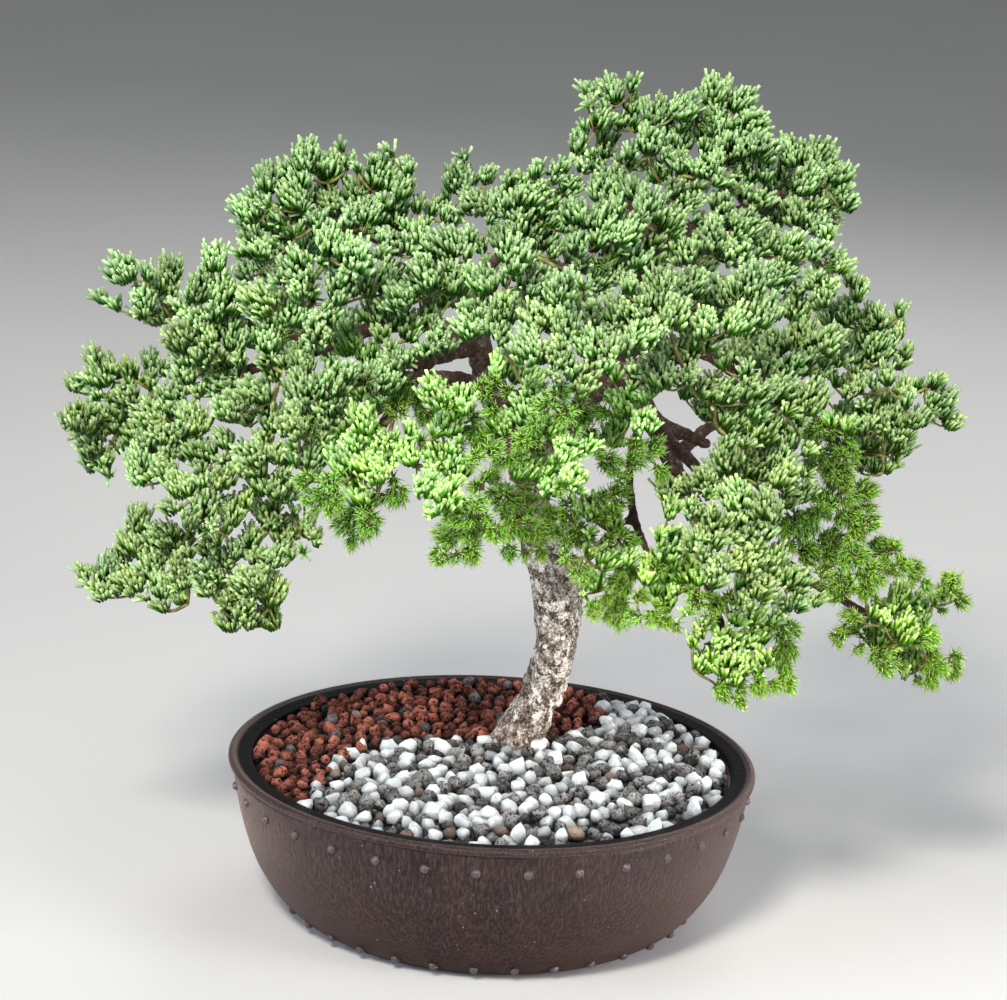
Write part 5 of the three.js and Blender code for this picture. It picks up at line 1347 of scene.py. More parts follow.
@dataclass(frozen=True)
class Stretch:
    """A straight stretch of limb, with the room that foliage keeps from it."""

    start: Array
    end: Array
    room: float

    def seen_behind(self, across: float, up: float, reach: float) -> float:
        """Gives how far behind the stretch stands where it is seen near a place, or infinity.

        Args:
            across: where it is looked at, square on.
            up: how high it is looked at.
            reach: how near to that it has to be seen.

        Returns:
            The stretch's place along the view, less the room round it.
        """
        for point in np.linspace(self.start, self.end, 9):
            stretch = (point[1] + EYE_FRONT) / EYE_FRONT
            seen = (point[0] / stretch - across, EYE_UP + (point[2] - EYE_UP) / stretch - up)
            if math.hypot(*seen) < reach:
                return float(min(self.start[1], self.end[1])) - self.room
        return math.inf

    def gap(self, point: Array) -> float:
        """Gives the distance from a point to the stretch's middle line."""
        line = self.end - self.start
        along = np.clip((point - self.start) @ line / (line @ line), 0, 1)
        return float(np.linalg.norm(point - self.start - along * line))


def stretches() -> list[Stretch]:
    """Gives the straight stretches of the trunk and all limbs."""
    found = []
    for stations in (TRUNK, *LIMBS):
        for a, b in zip(stations, stations[1:]):
            room = max(a[3], b[3]) * 1.1
            found.append(Stretch(np.array(a[:3], float), np.array(b[:3], float), room))
    return found


@dataclass(frozen=True)
class Knot:
    """A round scar where a branch was cut: its place on the trunk and its radius."""

    across: float
    back: float
    up: float
    radius: float


@dataclass
class Wood:
    """The trunk and limbs as one skin of flaky bark, with plates, cracks, knots and a root flare."""

    voxel: float = 1.8
    step: float = 5.0
    plate: float = 4.6
    plate_stretch: float = 0.55
    plate_lift: float = 1.1
    crack_depth: float = 0.7
    lump: float = 2.2
    roots: int = 5
    root_rise: float = 2.2
    knots: tuple[Knot, ...] = (
        Knot(20, 2, 214, 3.6), Knot(34, 0, 196, 3.2), Knot(40, 1, 160, 3.4), Knot(27, 3, 172, 2.6),
        Knot(31, 4, 138, 2.4), Knot(20, 6, 118, 2.2), Knot(12, 0, 244, 3.4), Knot(38, 3, 182, 2.6),
    )

    def skeleton(self) -> Object:
        """Makes the plain tubes of the trunk and limbs, wavering a little from station to station."""
        builder = MeshBuilder()
        for number, stations in enumerate((TRUNK, *LIMBS)):
            course = smooth_course(stations, self.step)
            for row in course[1:-1]:
                shift = noise.noise_vector(Vector(row[:3]) / 23 + Vector((0, 0, number)))
                row[:3] += np.array(shift) * min(row[3] * 0.45, 2.2)
            builder.tube(course, 16 if number == 0 else 10)
        return new_object("trunk_and_limbs", builder.mesh("trunk_and_limbs"))

    def skin(self, wood: Object) -> None:
        """Joins the tubes in one skin and smooths the forks.

        Args:
            wood: the tubes.
        """
        joined = wood.modifiers.new("joined", "REMESH")
        joined.mode, joined.voxel_size = "VOXEL", self.voxel * METRE
        soft = wood.modifiers.new("soft_forks", "SMOOTH")
        soft.factor, soft.iterations = 0.5, 5
        settle(wood)

    def girths(self, points: Array) -> Array:
        """Gives the radius of the limb nearest each point.

        Args:
            points: one row for each point, in millimetres.

        Returns:
            A radius for each point.
        """
        best = np.full(len(points), np.inf)
        girth = np.zeros(len(points))
        for stations in (TRUNK, *LIMBS):
            for a, b in zip(stations, stations[1:]):
                start, line = np.array(a[:3], float), np.array(b[:3], float) - np.array(a[:3], float)
                along = np.clip((points - start) @ line / (line @ line), 0, 1)
                radius = a[3] + (b[3] - a[3]) * along
                gap = np.linalg.norm(points - start - along[:, None] * line, axis=1) - radius
                nearer = gap < best
                best[nearer] = gap[nearer]
                girth[nearer] = radius[nearer]
        return girth

    def plates(self, point: Array, girth: float) -> tuple[float, float]:
        """Gives the bark's relief at a point of the skin.

        Args:
            point: the place in millimetres.
            girth: the limb's radius there.

        Returns:
            How far the bark lifts, and a number from 0 in a crack to 1 on a raised flake.
        """
        share = min(1.0, girth / 11)
        size = self.plate * (0.55 + 0.45 * share)
        wander = noise.noise_vector(Vector(point) / 9) * 2.2
        place = Vector(point) + wander
        place.z *= self.plate_stretch
        distances, centres = noise.voronoi(place / size)
        edge = min(1.0, (distances[1] - distances[0]) * 2.6)
        level = noise.cell(centres[0] * 7.3 + Vector((0.5, 0.5, 0.5)))
        lift = share * (self.plate_lift * level * edge - self.crack_depth * (1 - edge))
        lump = noise.fractal(Vector(point) / 17, 0.8, 2.1, 3) * self.lump * share
        return lift + lump, edge * (0.35 + 0.65 * level)

    def dress(self, wood: Object) -> None:
        """Lifts the bark and writes its relief and age for the finish.

        Args:
            wood: the joined skin.
        """
        mesh = wood.data
        points, normals = read_rows(mesh, "co") / METRE, read_rows(mesh, "normal")
        girth = self.girths(points)
        found = [self.plates(point, size) for point, size in zip(points, girth)]
        lift, relief = np.array(found).T.copy()
        foot = np.clip((128 - points[:, 2]) / 34, 0, 1) * (girth > 11)
        angle = np.arctan2(points[:, 1] - 20, points[:, 0] - 14)
        lift += foot * self.root_rise * (0.45 + 0.55 * np.cos(angle * self.roots + 0.6)) * foot
        for knot in self.knots:
            centre = np.array((knot.across, knot.back, knot.up))
            far = np.linalg.norm(points - centre, axis=1) / knot.radius
            ring = np.exp(-((far - 1.5) ** 2) / 0.18)
            hollow = np.exp(-(far ** 2) / 1.1) * (girth > 7)
            lift += 1.1 * ring * (girth > 7) - 0.9 * hollow
            relief = relief * (1 - 0.8 * hollow)
        points += normals * lift[:, None]
        mesh.vertices.foreach_set("co", (points * METRE).astype(np.float32).ravel())
        age = np.clip((girth - 5) / 6, 0, 1) * np.clip((points[:, 2] - 88) / 30, 0.4, 1)
        age = age * np.clip((310 - points[:, 2]) / 60, 0.25, 1)
        write_attribute(mesh, "relief", relief)
        write_attribute(mesh, "age", age)
        mesh.materials.append(FlakyBark().build())
        mesh.update()
        mesh.shade_smooth()

    def build(self) -> None:
        """Makes the dressed wood."""
        wood = self.skeleton()
        self.skin(wood)
        self.dress(wood)
        seat(wood, "wood")


# Foliage


def seeded(seed: int) -> Callable[[], float]:
    """Gives the number source that the part's source uses, so that both place tufts alike.

    Args:
        seed: the first state.

    Returns:
        A function that gives the next number from 0 to 1.
    """
    state = seed

    def draw() -> float:
        """Gives the next number."""
        nonlocal state
        state = (state + 0x6D2B79F5) & 0xFFFFFFFF
        t = ((state ^ (state >> 15)) * (state | 1)) & 0xFFFFFFFF
        t ^= (t + (((t ^ (t >> 7)) * (t | 61)) & 0xFFFFFFFF)) & 0xFFFFFFFF
        return (t ^ (t >> 14)) / 4294967296

    return draw


def unit(vector: Array) -> Array:
    """Gives a vector's direction."""
    return vector / max(1e-9, float(np.linalg.norm(vector)))


@dataclass
class Tuft:
    """One tuft of shoots: where it was seen, its place and size, and how it hangs on its bough."""

    bough: int
    across: float
    up: float
    behind: float
    radius: float
    kind: Shoot
    small: bool = False
    growth: Array = field(default_factory=lambda: np.array((0.0, 0.0, 1.0)))

    @property
    def core(self) -> float:
        """The radius of the tuft's dense middle."""
        return min(5.1, max(3.2, self.radius * 0.36))

    @property
    def centre(self) -> Array:
        """The tuft's middle, moved back along the line of sight by its depth."""
        stretch = (self.behind + EYE_FRONT) / EYE_FRONT
        return np.array((self.across * stretch, self.behind, EYE_UP + (self.up - EYE_UP) * stretch))

    def base(self) -> Array:
        """The point where the tuft's shoots fork from its stem."""
        return self.centre - self.growth * self.radius * 0.7


@dataclass
class Placement:
    """Stands the tufts at their depths, apart from each other and clear of the wood."""

    wood: list[Stretch]
    spacing: float = 16.0
    stagger: float = 13.0
    rounds: int = 40
    filler_shift: float = -4.0
    seed: int = 7

    def tufts(self) -> list[Tuft]:
        """Gives all tufts in the table's order."""
        random = seeded(self.seed)
        found = []
        for index, (name, behind, rows) in enumerate(BOUGHS):
            for across, up, radius in rows:
                young = name in NEEDLE_BOUGHS or (name in MIXED_BOUGHS and radius <= 10)
                kind = Shoot.NEEDLE if young else Shoot.SCALE
                deep = behind + (random() * 2 - 1) * self.stagger
                found.append(Tuft(index, across, up, deep, radius, kind))
        for _ in range(self.rounds):
            self.part(found)
        return found + [self.filler(found, *row) for row in FILLERS]

    def filler(self, tufts: list[Tuft], across: float, up: float, radius: float) -> Tuft:
        """Adds a small tuft, in front of the wood, to the bough of the tuft that is seen nearest to it.

        Args:
            tufts: the boughs' own tufts.
            across: where it is seen across.
            up: how high it is seen.
            radius: its radius.

        Returns:
            The small tuft.
        """
        near = min(tufts, key=lambda tuft: math.hypot(tuft.across - across, tuft.up - up))
        small = Tuft(near.bough, across, up, near.behind + self.filler_shift, radius, near.kind)
        front = min(s.seen_behind(across, up, s.room + radius * 0.5) for s in self.wood)
        if front < small.behind:
            small.behind = front - small.core - 3
            small.bough = min(tufts, key=lambda t: np.linalg.norm(t.centre - small.centre)).bough
        for _ in range(self.rounds):
            short = max(s.room + small.core + 3 - s.gap(small.centre) for s in self.wood)
            if short <= 0:
                break
            small.behind -= short
        return small

    def part(self, tufts: list[Tuft]) -> None:
        """Moves tufts that stand too close apart in depth, once.

        Args:
            tufts: all tufts.
        """
        starts = np.array([s.start for s in self.wood])
        lines = np.array([s.end - s.start for s in self.wood])
        rooms = np.array([s.room for s in self.wood])
        squares = np.einsum("ij,ij->i", lines, lines)
        centres = np.array([t.centre for t in tufts])
        for i, tuft in enumerate(tufts):
            j = i + 1
            while j < len(tufts):
                gaps = np.linalg.norm(centres[j:] - centres[i], axis=1)
                close = np.flatnonzero(gaps < self.spacing)
                if not len(close):
                    break
                j += int(close[0])
                short = self.spacing - gaps[close[0]]
                side = -1 if tuft.behind <= tufts[j].behind else 1
                tuft.behind += side * short * 0.5
                tufts[j].behind -= side * short * 0.5
                centres[i], centres[j] = tuft.centre, tufts[j].centre
                j += 1
            k = 0
            while k < len(rooms):
                away = centres[i] - starts[k:]
                along = np.clip(np.einsum("ij,ij->i", away, lines[k:]) / squares[k:], 0, 1)
                gaps = np.linalg.norm(away - along[:, None] * lines[k:], axis=1)
                short_by = rooms[k:] + tuft.core + 4 - gaps
                close = np.flatnonzero(short_by > 0)
                if not len(close):
                    break
                first = int(close[0])
                near = starts[k + first] + along[first] * lines[k + first]
                short = short_by[first]
                tuft.behind += -short if centres[i][1] <= near[1] else short
                centres[i] = tuft.centre
                k += first + 1


@dataclass(frozen=True)
class Join:
    """A stem between two tufts of a bough, or from the wood to its first tuft."""

    start: Array
    tuft: Tuft
    parent: Tuft | None


@dataclass
class BoughGrowth:
    """Joins a bough's tufts in a tree of stems that starts on the nearest wood."""

    wood: list[Stretch]
    long_join: float = 15.0
    near: float = 27.0
    fill: float = 0.72
    rise: float = 0.75
    outward: float = 0.3

    def nearest_wood(self, point: Array) -> tuple[float, Array]:
        """Gives the distance to the nearest limb and the point on its middle line."""
        best = (math.inf, point)
        for stretch in self.wood:
            line = stretch.end - stretch.start
            along = np.clip((point - stretch.start) @ line / (line @ line), 0, 1)
            near = stretch.start + along * line
            gap = float(np.linalg.norm(point - near))
            if gap < best[0]:
                best = (gap, near)
        return best

    def joins(self, tufts: list[Tuft]) -> list[Join]:
        """Finds the shortest tree of stems through a bough's tufts.

        Args:
            tufts: the bough's tufts.

        Returns:
            The stems, each after the one that carries it.
        """
        first = min(tufts, key=lambda tuft: self.nearest_wood(tuft.centre)[0])
        root = self.nearest_wood(first.centre)[1]
        found = [Join(root, first, None)]
        waiting = [tuft for tuft in tufts if tuft is not first]
        while waiting:
            gap, near, tuft = min(
                ((float(np.linalg.norm(a.tuft.centre - b.centre)), n, b)
                 for n, a in enumerate(found) for b in waiting), key=lambda row: row[0])
            parent = found[near].tuft
            found.append(Join(parent.centre, tuft, parent))
            waiting.remove(tuft)
        return found

    def lean(self, joins: list[Join]) -> None:
        """Gives each tuft the way it grows: on from its stem, up to the light and outwards.

        Args:
            joins: the bough's stems.
        """
        for join in joins:
            tuft = join.tuft
            on = unit(tuft.centre - join.start)
            out = unit(np.array((tuft.centre[0] * 0.7, tuft.centre[1], 0.0)))
            rise = self.rise if tuft.kind is Shoot.SCALE else self.rise * 0.3
            tuft.growth = unit(on * 0.6 + np.array((0, 0, rise)) + out * self.outward)

    def middles(self, joins: list[Join], random: np.random.Generator) -> list[Tuft]:
        """Adds a smaller tuft between each pair of near neighbours of a bough.

        Args:
            joins: the bough's stems.
            random: the number source.

        Returns:
            The added tufts.
        """
        tufts = [join.tuft for join in joins]
        added = []
        for n, a in enumerate(tufts):
            for b in tufts[n + 1:]:
                gap = np.linalg.norm(a.centre - b.centre)
                if not self.long_join < gap < self.near:
                    continue
                radius = min(a.radius, b.radius) * self.fill
                young = a.kind is Shoot.NEEDLE or b.kind is Shoot.NEEDLE
                kind = Shoot.NEEDLE if young or random.random() < 0.12 else Shoot.SCALE
                middle = Tuft(b.bough, (a.across + b.across) / 2, (a.up + b.up) / 2 - 1,
                              (a.behind + b.behind) / 2 + random.uniform(-2, 4), radius, kind, True)
                middle.growth = unit(a.growth + b.growth + random.normal(size=3) * 0.3)
                if all(np.linalg.norm(middle.centre - c.centre) > 9 for c in added):
                    added.append(middle)
        return added


@dataclass
class ShootPoints:
    """The places of a bough's small shoots, with what each one's instance needs."""

    places: list[Array] = field(default_factory=list)
    values: dict[str, list[object]] = field(default_factory=dict)

    def add(self, place: Array, **values: object) -> None:
        """Adds one shoot.

        Args:
            place: where it starts, in millimetres.
            **values: its aim and size, the number of its shape (pick), its lightness (tint) and
                yellowness (warmth) from 0 to 1, and its turn about its own length (roll).
        """
        self.places.append(place)
        for name, value in values.items():
            self.values.setdefault(name, []).append(value)

    def mesh(self, name: str) -> Mesh:
        """Makes a mesh of bare points with the attributes."""
        mesh = bpy.data.meshes.new(name)
        mesh.from_pydata((np.array(self.places) * METRE).tolist(), [], [])
        kinds = {"aim": "FLOAT_VECTOR", "size": "FLOAT_VECTOR", "pick": "INT"}
        for label, rows in self.values.items():
            write_attribute(mesh, label, rows, kinds.get(label, "FLOAT"))
        return mesh


@dataclass(frozen=True)
class Curve:
    """A curve as points, with the distance along it at each point."""

    points: Array
    spots: Array

    @classmethod
    def through(cls, start: Array, bend: Array, end: Array) -> Curve:
        """Makes the curve that leaves start towards bend and arrives at end."""
        t = np.linspace(0, 1, 9)[:, None]
        points = start * (1 - t) ** 2 + bend * 2 * t * (1 - t) + end * t ** 2
        steps = np.linalg.norm(np.diff(points, axis=0), axis=1)
        return cls(points, np.concatenate(((0.0,), np.cumsum(steps))))

    @property
    def length(self) -> float:
        """The curve's whole length."""
        return float(self.spots[-1])

    def at(self, spot: float) -> Array:
        """Gives the point at a distance along the curve."""
        return np.array([np.interp(spot, self.spots, self.points[:, k]) for k in range(3)])

    def way(self, spot: float) -> Array:
        """Gives the curve's direction at a distance along it."""
        return unit(self.at(spot) - self.at(spot - 1.5))


@dataclass
class TuftGrowth:
    """Grows the sprigs of a tuft along its own short stem, and the small shoots on them."""

    random: np.random.Generator
    sprigs: int = 27
    back: float = -0.4
    fan: float = 0.35
    settle: float = 1.4
    finger_gap: float = 1.82
    finger_length: tuple[float, float] = (6.6, 9.8)
    finger_radius: tuple[float, float] = (0.76, 1.06)
    finger_spread: tuple[float, float] = (12.0, 27.0)
    light_pull: float = 1.7
    needle_stems: int = 20
    needle_gap: float = 1.35
    needle_length: tuple[float, float] = (4.2, 6.4)
    needle_radius: float = 0.55
    needle_spread: tuple[float, float] = (34.0, 56.0)
    finger_shapes: int = 6

    def sprig_curves(self, tuft: Tuft, count: int, slack: float) -> list[Curve]:
        """Spreads a tuft's sprigs round its stem, the lower ones outwards and the last ones on.

        Args:
            tuft: the tuft.
            count: how many sprigs.
            slack: how far short of the tuft's edge they end.

        Returns:
            The sprigs' curves.
        """
        random, radius, growth = self.random, tuft.radius, tuft.growth
        first = unit(np.cross(growth, random.normal(size=3)))
        second = np.cross(growth, first)
        stem = Curve.through(tuft.base(), tuft.centre + random.normal(size=3) * radius * 0.12,
                             tuft.centre + growth * radius * 0.5)
        turn = random.uniform(0, 2 * math.pi)
        curves = []
        for k in range(count):
            share = 1 - (k + 0.5) / count
            lift = self.back + (1 - self.back) * share
            out = math.sqrt(max(0.0, 1 - lift * lift))
            angle = turn + k * 2.39996
            side = first * math.cos(angle) + second * math.sin(angle) * (1 - self.fan)
            way = unit(growth * lift + side * out + random.normal(size=3) * 0.14)
            start = stem.at(stem.length * (0.05 + 0.6 * share ** 1.5))
            end = tuft.centre + way * (radius * random.uniform(0.7, 0.95) - slack)
            end = end - np.array((0, 0, self.settle))
            bend = start + (growth * 0.12 + side * out * 0.62) * radius
            curves.append(Curve.through(start, bend, end))
        return curves

    def warmth(self, tuft: Tuft) -> float:
        """Gives how yellow a tuft is: more so low down, to the right and on young growth."""
        x, _, z = tuft.centre
        value = 0.32 + 0.35 * (300 - z) / 150 + 0.12 * x / 200 + self.random.normal() * 0.14
        return float(np.clip(value + (0.3 if tuft.kind is Shoot.NEEDLE else 0.0), 0, 1))

    def stem(self, curve: Curve, stems: MeshBuilder) -> None:
        """Adds a sprig's thin stem."""
        rows = [(*curve.at(curve.length * share), 0.6 - 0.3 * share) for share in (0, 0.75)]
        stems.tube(np.array(rows), 3)

    def tint(self, place: Array, tuft: Tuft, shade: float) -> float:
        """Gives a shoot's lightness: painted shade that darkens it deep in the tuft, with a random share.
        """
        outer = min(1.0, float(np.linalg.norm(place - tuft.centre)) / tuft.radius)
        value = 0.1 + 0.48 * outer + shade + self.random.normal() * 0.13
        return float(np.clip(value, 0, 1))

    def scales(self, tuft: Tuft, points: ShootPoints, stems: MeshBuilder) -> None:
        """Grows a tuft of blunt shoots.

        Args:
            tuft: the tuft.
            points: gathers the shoots.
            stems: gathers the stems.
        """
        random = self.random
        count = max(5, round(self.sprigs * (tuft.radius / 13) ** 1.7))
        warmth, shade = self.warmth(tuft), random.normal() * 0.08
        for curve in self.sprig_curves(tuft, count, 3.8):
            self.stem(curve, stems)
            length = random.uniform(*self.finger_length)
            turn = random.uniform(0, 2 * math.pi)
            for n, spot in enumerate(np.arange(curve.length, curve.length * 0.2, -self.finger_gap)):
                self.finger(curve, spot, n, turn, length, warmth, shade, tuft, points)

    def finger(
        self, curve: Curve, spot: float, number: int, turn: float, length: float, warmth: float,
        shade: float, tuft: Tuft, points: ShootPoints,
    ) -> None:
        """Adds one blunt shoot on a sprig.

        Args:
            curve: the sprig's curve.
            spot: where on it the shoot starts.
            number: how many shoots stand nearer to its end.
            turn: the sprig's own turn.
            length: the length of its end shoot.
            warmth: how yellow the tuft is.
            shade: how light the tuft is.
            tuft: the tuft.
            points: gathers the shoots.
        """
        random = self.random
        place, aim = curve.at(spot), curve.way(spot)
        if number:
            first = unit(np.cross(aim, np.array((0.2, 0.3, 0.93))))
            second = np.cross(aim, first)
            angle = turn + number * 2.2
            spread = math.tan(math.radians(random.uniform(*self.finger_spread)))
            aim = aim + (first * math.cos(angle) + second * math.sin(angle)) * spread
            length = length * random.uniform(0.7, 1.0)
        aim = unit(aim + np.array((0, -0.2, 1.0)) * self.light_pull * min(1, number + 0.45))
        place = place - aim * 0.8
        radius = random.uniform(*self.finger_radius)
        points.add(
            place, aim=unit(aim), size=(radius, radius, length),
            pick=int(random.integers(self.finger_shapes)),
            tint=self.tint(place + aim * length * 0.6, tuft, shade),
            warmth=float(np.clip(warmth + random.normal() * 0.08, 0, 1)),
            roll=random.uniform(0, 6.28))

    def needles(self, tuft: Tuft, points: ShootPoints, stems: MeshBuilder) -> None:
        """Grows a tuft of spiky young shoots, with needles in threes all along them.

        Args:
            tuft: the tuft.
            points: gathers the needles.
            stems: gathers the stems.
        """
        random = self.random
        count = max(5, round(self.needle_stems * (tuft.radius / 12) ** 1.4))
        warmth, shade = self.warmth(tuft), random.normal() * 0.08
        for curve in self.sprig_curves(tuft, count, 2.6):
            self.stem(curve, stems)
            spots = np.arange(curve.length, curve.length * 0.3, -self.needle_gap)
            for n, spot in enumerate(spots):
                place, along = curve.at(spot), curve.way(spot)
                first = unit(np.cross(along, np.array((0.2, 0.3, 0.93))))
                second = np.cross(along, first)
                for k in range(3):
                    angle = n * 1.05 + k * 2.094 + random.normal() * 0.15
                    side = first * math.cos(angle) + second * math.sin(angle)
                    spread = math.tan(math.radians(random.uniform(*self.needle_spread) if n else 16))
                    size = (self.needle_radius, self.needle_radius,
                            random.uniform(*self.needle_length))
                    points.add(
                        place, aim=unit(along + side * spread), size=size, pick=self.finger_shapes,
                        tint=self.tint(place, tuft, shade + 0.08),
                        warmth=float(np.clip(warmth + random.normal() * 0.1, 0, 1)), roll=0.0)


@dataclass
class ShootShapes:
    """The small shapes that are repeated: six blunt shoots and one needle, a millimetre in size."""

    bends: tuple[float, ...] = (-0.9, -0.4, 0.0, 0.3, 0.6, 1.1)

    def blunt(self, number: int, bend: float) -> Object:
        """Makes one blunt shoot: a rod of three twisted sides, wider towards its blunt end."""
        random = np.random.default_rng(40 + number)
        points, share = [], []
        for k, out in enumerate((random.uniform(0.72, 0.84), random.uniform(1.06, 1.2))):
            for side in range(3):
                angle = (side * 2 + k) * math.pi / 3
                up = k * random.uniform(0.9, 1.03)
                points.append((out * math.cos(angle) + bend * up * up, out * math.sin(angle), up))
                share.append(min(1.0, up))
        faces = [(2, 1, 0), (3, 4, 5)]
        for side in range(3):
            after = (side + 1) % 3
            a, b, c, d = side, after, 3 + side, 3 + after
            faces.extend(((a, b, c), (b, d, c)))
        return self.piece(f"blunt_shoot_{number}", points, share, faces)

    def needle(self) -> Object:
        """Makes one needle of three sides."""
        points = [(math.cos(k * 2.0944), math.sin(k * 2.0944), 0.0) for k in range(3)]
        points.append((0.0, 0.0, 1.0))
        faces = ((2, 1, 0), (0, 1, 3), (1, 2, 3), (2, 0, 3))
        return self.piece("needle", points, (0.2, 0.2, 0.2, 1.0), faces)

    def piece(
        self, name: str, points: Sequence, share: Sequence[float], faces: Sequence
    ) -> Object:
        """Makes a shape with the way along it as an attribute."""
        mesh = bpy.data.meshes.new(name)
        mesh.from_pydata((np.array(points) * METRE).tolist(), [], faces)
        write_attribute(mesh, "along", share)
        mesh.update()
        mesh.shade_smooth()
        return new_object(name, mesh)

    def build(self) -> Collection:
        """Makes all shapes in a collection, in the order of their numbers."""
        shapes = bpy.data.collections.new("shoot_shapes")
        for number, bend in enumerate(self.bends):
            shape = self.blunt(number, bend)
            shape.name = f"a{number}_blunt_shoot"
            shapes.objects.link(shape)
        needle = self.needle()
        needle.name = "b_needle"
        shapes.objects.link(needle)
        return shapes


@dataclass
class Foliage:
    """All boughs, each one piece in the place of its CAD node."""

    wood: list[Stretch]
    seed: int = 31

    def shoot_tree(self) -> NodeTree:
        """Builds the tree that sets a small shoot on every point and joins the stems."""
        tree, given, result = geometry_tree("set_shoots", {
            "Shapes": "Collection", "Stems": "Object", "Finish": "Material",
            "Stem Finish": "Material"})

        def named(name: str, kind: str) -> NodeSocket:
            """Reads an attribute of the points."""
            return add_node(
                tree, "GeometryNodeInputNamedAttribute", {"Name": name}, "Attribute", data_type=kind)

        roll = add_node(tree, COMBINE, {"Z": named("roll", "FLOAT")})
        turn = add_node(tree, "FunctionNodeEulerToRotation", {"Euler": roll})
        aim = add_node(tree, "FunctionNodeAlignRotationToVector", {
            "Rotation": turn, "Vector": named("aim", "FLOAT_VECTOR")}, axis="Z")
        shapes = add_node(tree, "GeometryNodeCollectionInfo", {
            "Collection": given["Shapes"], "Separate Children": True, "Reset Children": True})
        placed = add_node(tree, INSTANCES, {
            "Points": given["Geometry"], "Instance": shapes, "Pick Instance": True,
            "Instance Index": named("pick", "INT"), "Rotation": aim,
            "Scale": named("size", "FLOAT_VECTOR")})
        shoots = dressed(tree, placed, given["Finish"])
        carrier = add_node(tree, "GeometryNodeObjectInfo", {"Object": given["Stems"]}, "Geometry")
        stems = dressed(tree, carrier, given["Stem Finish"])
        feed(result, [add_node(tree, JOIN, {"Geometry": [shoots, stems]})])
        return tree

    def stems(self, joins: list[Join], builder: MeshBuilder) -> None:
        """Adds a bough's own stems, thicker where they carry more.

        Args:
            joins: the bough's stems.
            builder: gathers the stems.
        """
        loads = {id(join.tuft): 1 for join in joins}
        for join in reversed(joins):
            if join.parent is not None:
                loads[id(join.parent)] += loads[id(join.tuft)]
        for join in joins:
            start = join.start if join.parent is None else join.parent.base()
            end = join.tuft.base()
            thick = 0.55 + 0.17 * math.sqrt(loads[id(join.tuft)])
            sag = np.array((0, 0, -0.06 * float(np.linalg.norm(end - start))))
            rows = []
            for t in (0.0, 0.33, 0.67, 1.0):
                point = start + (end - start) * t + sag * 4 * t * (1 - t)
                waver = noise.noise_vector(Vector(point) / 8)
                point = point + np.array(waver) * 1.2 * (0 < t < 1)
                rows.append((*point, thick * (1.15 - 0.3 * t)))
            builder.tube(np.array(rows), 5)

    def build(self) -> None:
        """Makes every bough."""
        growth = BoughGrowth(self.wood)
        tufts = Placement(self.wood).tufts()
        shapes = ShootShapes().build()
        tree = self.shoot_tree()
        stem_finish = GREEN_STEM.build()
        finishes = {
            False: JuniperShoot("blunt_juniper_shoots", "193a05", "3e8826", "6a9a2c", "d8f4c0",
                                "e0f0b0", 0.3, 0.2, 1.2).build(),
            True: JuniperShoot("young_juniper_needles", "284c0a", "50a02c", "76b22e", "d8f8bc",
                               "e4f8ae", 0.15, 0.3, 1.5).build(),
        }
        for index, (name, _, _) in enumerate(BOUGHS):
            random = np.random.default_rng(self.seed + index)
            own = [tuft for tuft in tufts if tuft.bough == index]
            joins = growth.joins(own)
            growth.lean(joins)
            own = own + growth.middles(joins, random)
            LOG.info("%s: %d tufts", name, len(own))
            points, stems = ShootPoints(), MeshBuilder()
            self.stems(joins, stems)
            grower = TuftGrowth(random)
            for tuft in own:
                grow = grower.needles if tuft.kind is Shoot.NEEDLE else grower.scales
                grow(tuft, points, stems)
            carrier = new_object(name + "_stems", stems.mesh(name + "_stems"))
            carrier.data.shade_smooth()
            bough = new_object(name, points.mesh(name))
            young = name in NEEDLE_BOUGHS or name in MIXED_BOUGHS
            add_modifier_tree(bough, tree, {
                "Shapes": shapes, "Stems": carrier, "Finish": finishes[young],
                "Stem Finish": stem_finish})
            settle(bough, ("aim", "size", "roll", "pick"))
            bpy.data.objects.remove(carrier)
            seat(bough, "foliage_" + name)
        for shape in list(shapes.objects):
            bpy.data.objects.remove(shape)
        bpy.data.collections.remove(shapes)


# Studio


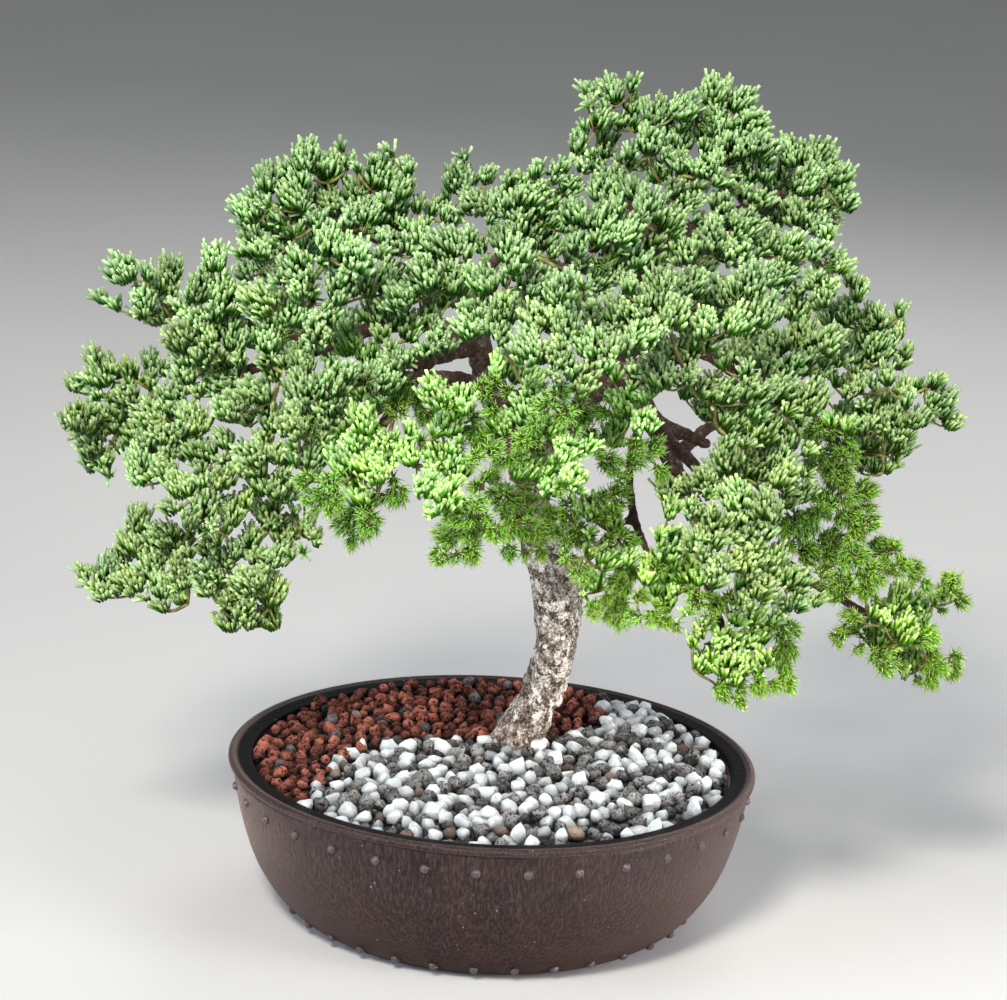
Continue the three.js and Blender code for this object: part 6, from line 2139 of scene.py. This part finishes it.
@dataclass
class Studio:
    """A pale floor under soft light, and the camera where the photograph was taken from."""

    camera_place: tuple[float, float, float] = (-0.0009, -1.8, 0.722)
    camera_down: float = 14.863
    camera_roll: float = 2.85
    lens: float = 117.35
    floor_side: float = 14.0

    def floor(self) -> None:
        """Makes the floor."""
        half = self.floor_side / 2
        mesh = bpy.data.meshes.new("studio_floor")
        mesh.from_pydata([(-half, -half, 0), (half, -half, 0), (half, half, 0), (-half, half, 0)], [],
                         [(0, 1, 2, 3)])
        floor = new_object("studio_floor", mesh, PALE_FLOOR.build())

    def lamp(
        self, name: str, place: tuple[float, float, float], side: float, watts: float, colour: str,
        target: float = 0.25, spread: float = 180.0,
    ) -> None:
        """Hangs a square soft light that faces the tree.

        Args:
            name: the light's name.
            place: where it hangs, in metres.
            side: the side of its square.
            watts: its power.
            colour: its hex colour.
            target: the height on the pot's axis that it faces.
            spread: how wide its light opens, in degrees.
        """
        light = bpy.data.lights.new(name, "AREA")
        light.shape, light.size, light.energy = "SQUARE", side, watts
        light.spread = math.radians(spread)
        light.color = linear(colour)[:3]
        lamp = bpy.data.objects.new(name, light)
        bpy.context.scene.collection.objects.link(lamp)
        lamp.location = place
        aim = Vector((0, 0, target)) - Vector(place)
        lamp.rotation_euler = aim.to_track_quat("-Z", "Y").to_euler()

    def world(self) -> None:
        """Makes the even pale surroundings."""
        world = bpy.data.worlds.new("pale_studio")
        world.use_nodes = True
        tree = world.node_tree
        tree.nodes.clear()
        sky = add_node(tree, "ShaderNodeBackground", {"Color": linear("e8ecf0"), "Strength": 0.28})
        feed(tree.nodes.new("ShaderNodeOutputWorld"), {"Surface": sky})
        bpy.context.scene.world = world

    def camera(self) -> None:
        """Sets the camera."""
        data = bpy.data.cameras.new("photo_camera")
        data.lens, data.sensor_width, data.sensor_fit = self.lens, 36.0, "HORIZONTAL"
        data.clip_start, data.clip_end = 0.05, 50.0
        camera = bpy.data.objects.new("photo_camera", data)
        bpy.context.scene.collection.objects.link(camera)
        pitch = Matrix.Rotation(math.radians(90 - self.camera_down), 4, "X")
        roll = Matrix.Rotation(math.radians(self.camera_roll), 4, "Z")
        camera.matrix_world = Matrix.Translation(self.camera_place) @ pitch @ roll
        bpy.context.scene.camera = camera
        bpy.context.scene.view_settings.view_transform = "Standard"

    def build(self) -> None:
        """Makes the floor, the lights, the surroundings and the camera."""
        self.floor()
        self.lamp("key", (-0.55, -1.8, 1.9), 0.5, 76.0, "fff9f0")
        self.lamp("fill", (1.8, -1.0, 1.0), 1.2, 32.0, "f2f5ff")
        self.lamp("window", (-1.9, -0.9, 0.8), 1.0, 32.0, "dfe9ff")
        # Two low lights from the sides that run along the turned-away walls of the pot
        self.lamp("side_right", (1.5, -0.35, 0.12), 0.2, 0.3, "fff8f2", 0.035, 9.0)
        self.lamp("side_left", (-1.5, -0.45, 0.12), 0.2, 0.05, "fff8f2", 0.035, 9.0)
        self.lamp("back", (0.6, 1.6, 1.6), 1.2, 16.0, "ffffff")
        # A narrow low light that finds its way under the canopy to the trunk
        self.lamp("low", (0.5, -1.7, 0.4), 0.12, 0.082, "fffaf2", 0.155, 8.0)
        self.world()
        self.camera()


def stone_kind(
    name: str, colours: tuple[str, str, str], pores: tuple[float, float, float],
    share: tuple[float, float], size: tuple[float, float], crag: float, cuts: int, seed: int,
) -> StoneKind:
    """Gives one kind of stone with its finish.

    Args:
        name: the kind's name.
        colours: the hex colours of its face, its pale face and its pits.
        pores: their size and depth in millimetres and their share of the noise.
        share: from where to where it takes the places, in shares of 1.
        size: the smallest and the largest radius in millimetres.
        crag: how craggy it is.
        cuts: how many broken faces it has.
        seed: the seed of its shapes.

    Returns:
        The kind.
    """
    return StoneKind(name, PorousStone(name + "_stone", *colours, *pores), share, size, crag, cuts, seed)


RED_STONES = (
    stone_kind("red_lava", ("4e1a13", "c0745f", "120503"), (2.0, 3.0, 0.475), (0.0, 0.93), (3.3, 5.3),
               0.42, 3, 1),
    stone_kind("dark_lava_in_red", ("403c3e", "8c8484", "121213"), (2.0, 3.0, 0.47), (0.93, 1.01),
               (3.4, 5.4), 0.42, 3, 2),
)
PALE_STONES = (
    stone_kind("white_pumice", ("cdd4d5", "e2e7e7", "74787a"), (1.3, 2.0, 0.38), (0.0, 0.53),
               (4.8, 7.4), 0.2, 8, 3),
    stone_kind("grey_lava", ("2c2d2e", "a3a29f", "0b0b0c"), (1.9, 3.0, 0.475), (0.53, 0.94),
               (4.4, 7.0), 0.42, 4, 4),
    stone_kind("brown_chips", ("4c3f38", "8b7a6e", "201814"), (1.6, 1.2, 0.42), (0.94, 1.01),
               (3.6, 5.6), 0.24, 6, 5),
)


def main() -> None:
    """Builds the bonsai, the floor, the light and the camera."""
    logging.basicConfig(level=logging.INFO, format="%(name)s %(message)s")
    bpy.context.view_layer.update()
    pot = Pot()
    pot.build()
    DrainScreens().build(pot.drain_centres())
    for slot in frame["nodes"]["soil"].material_slots:
        slot.material = damp_crumbs("potting_mix", "1d1814", "4a3b2e").build()
    # The red bed's grit is near black, partly as painted shade between the stones
    StoneBed("red_lava_stones", "red_lava", True, RED_STONES, 7.0, grit=("140a08", "36201b")).build()
    StoneBed("pumice_and_grey_lava", "pumice", False, PALE_STONES, seed=9).build()
    Wood().build()
    Foliage(stretches()).build()
    Studio().build()


if __name__ == "__main__":
    main()
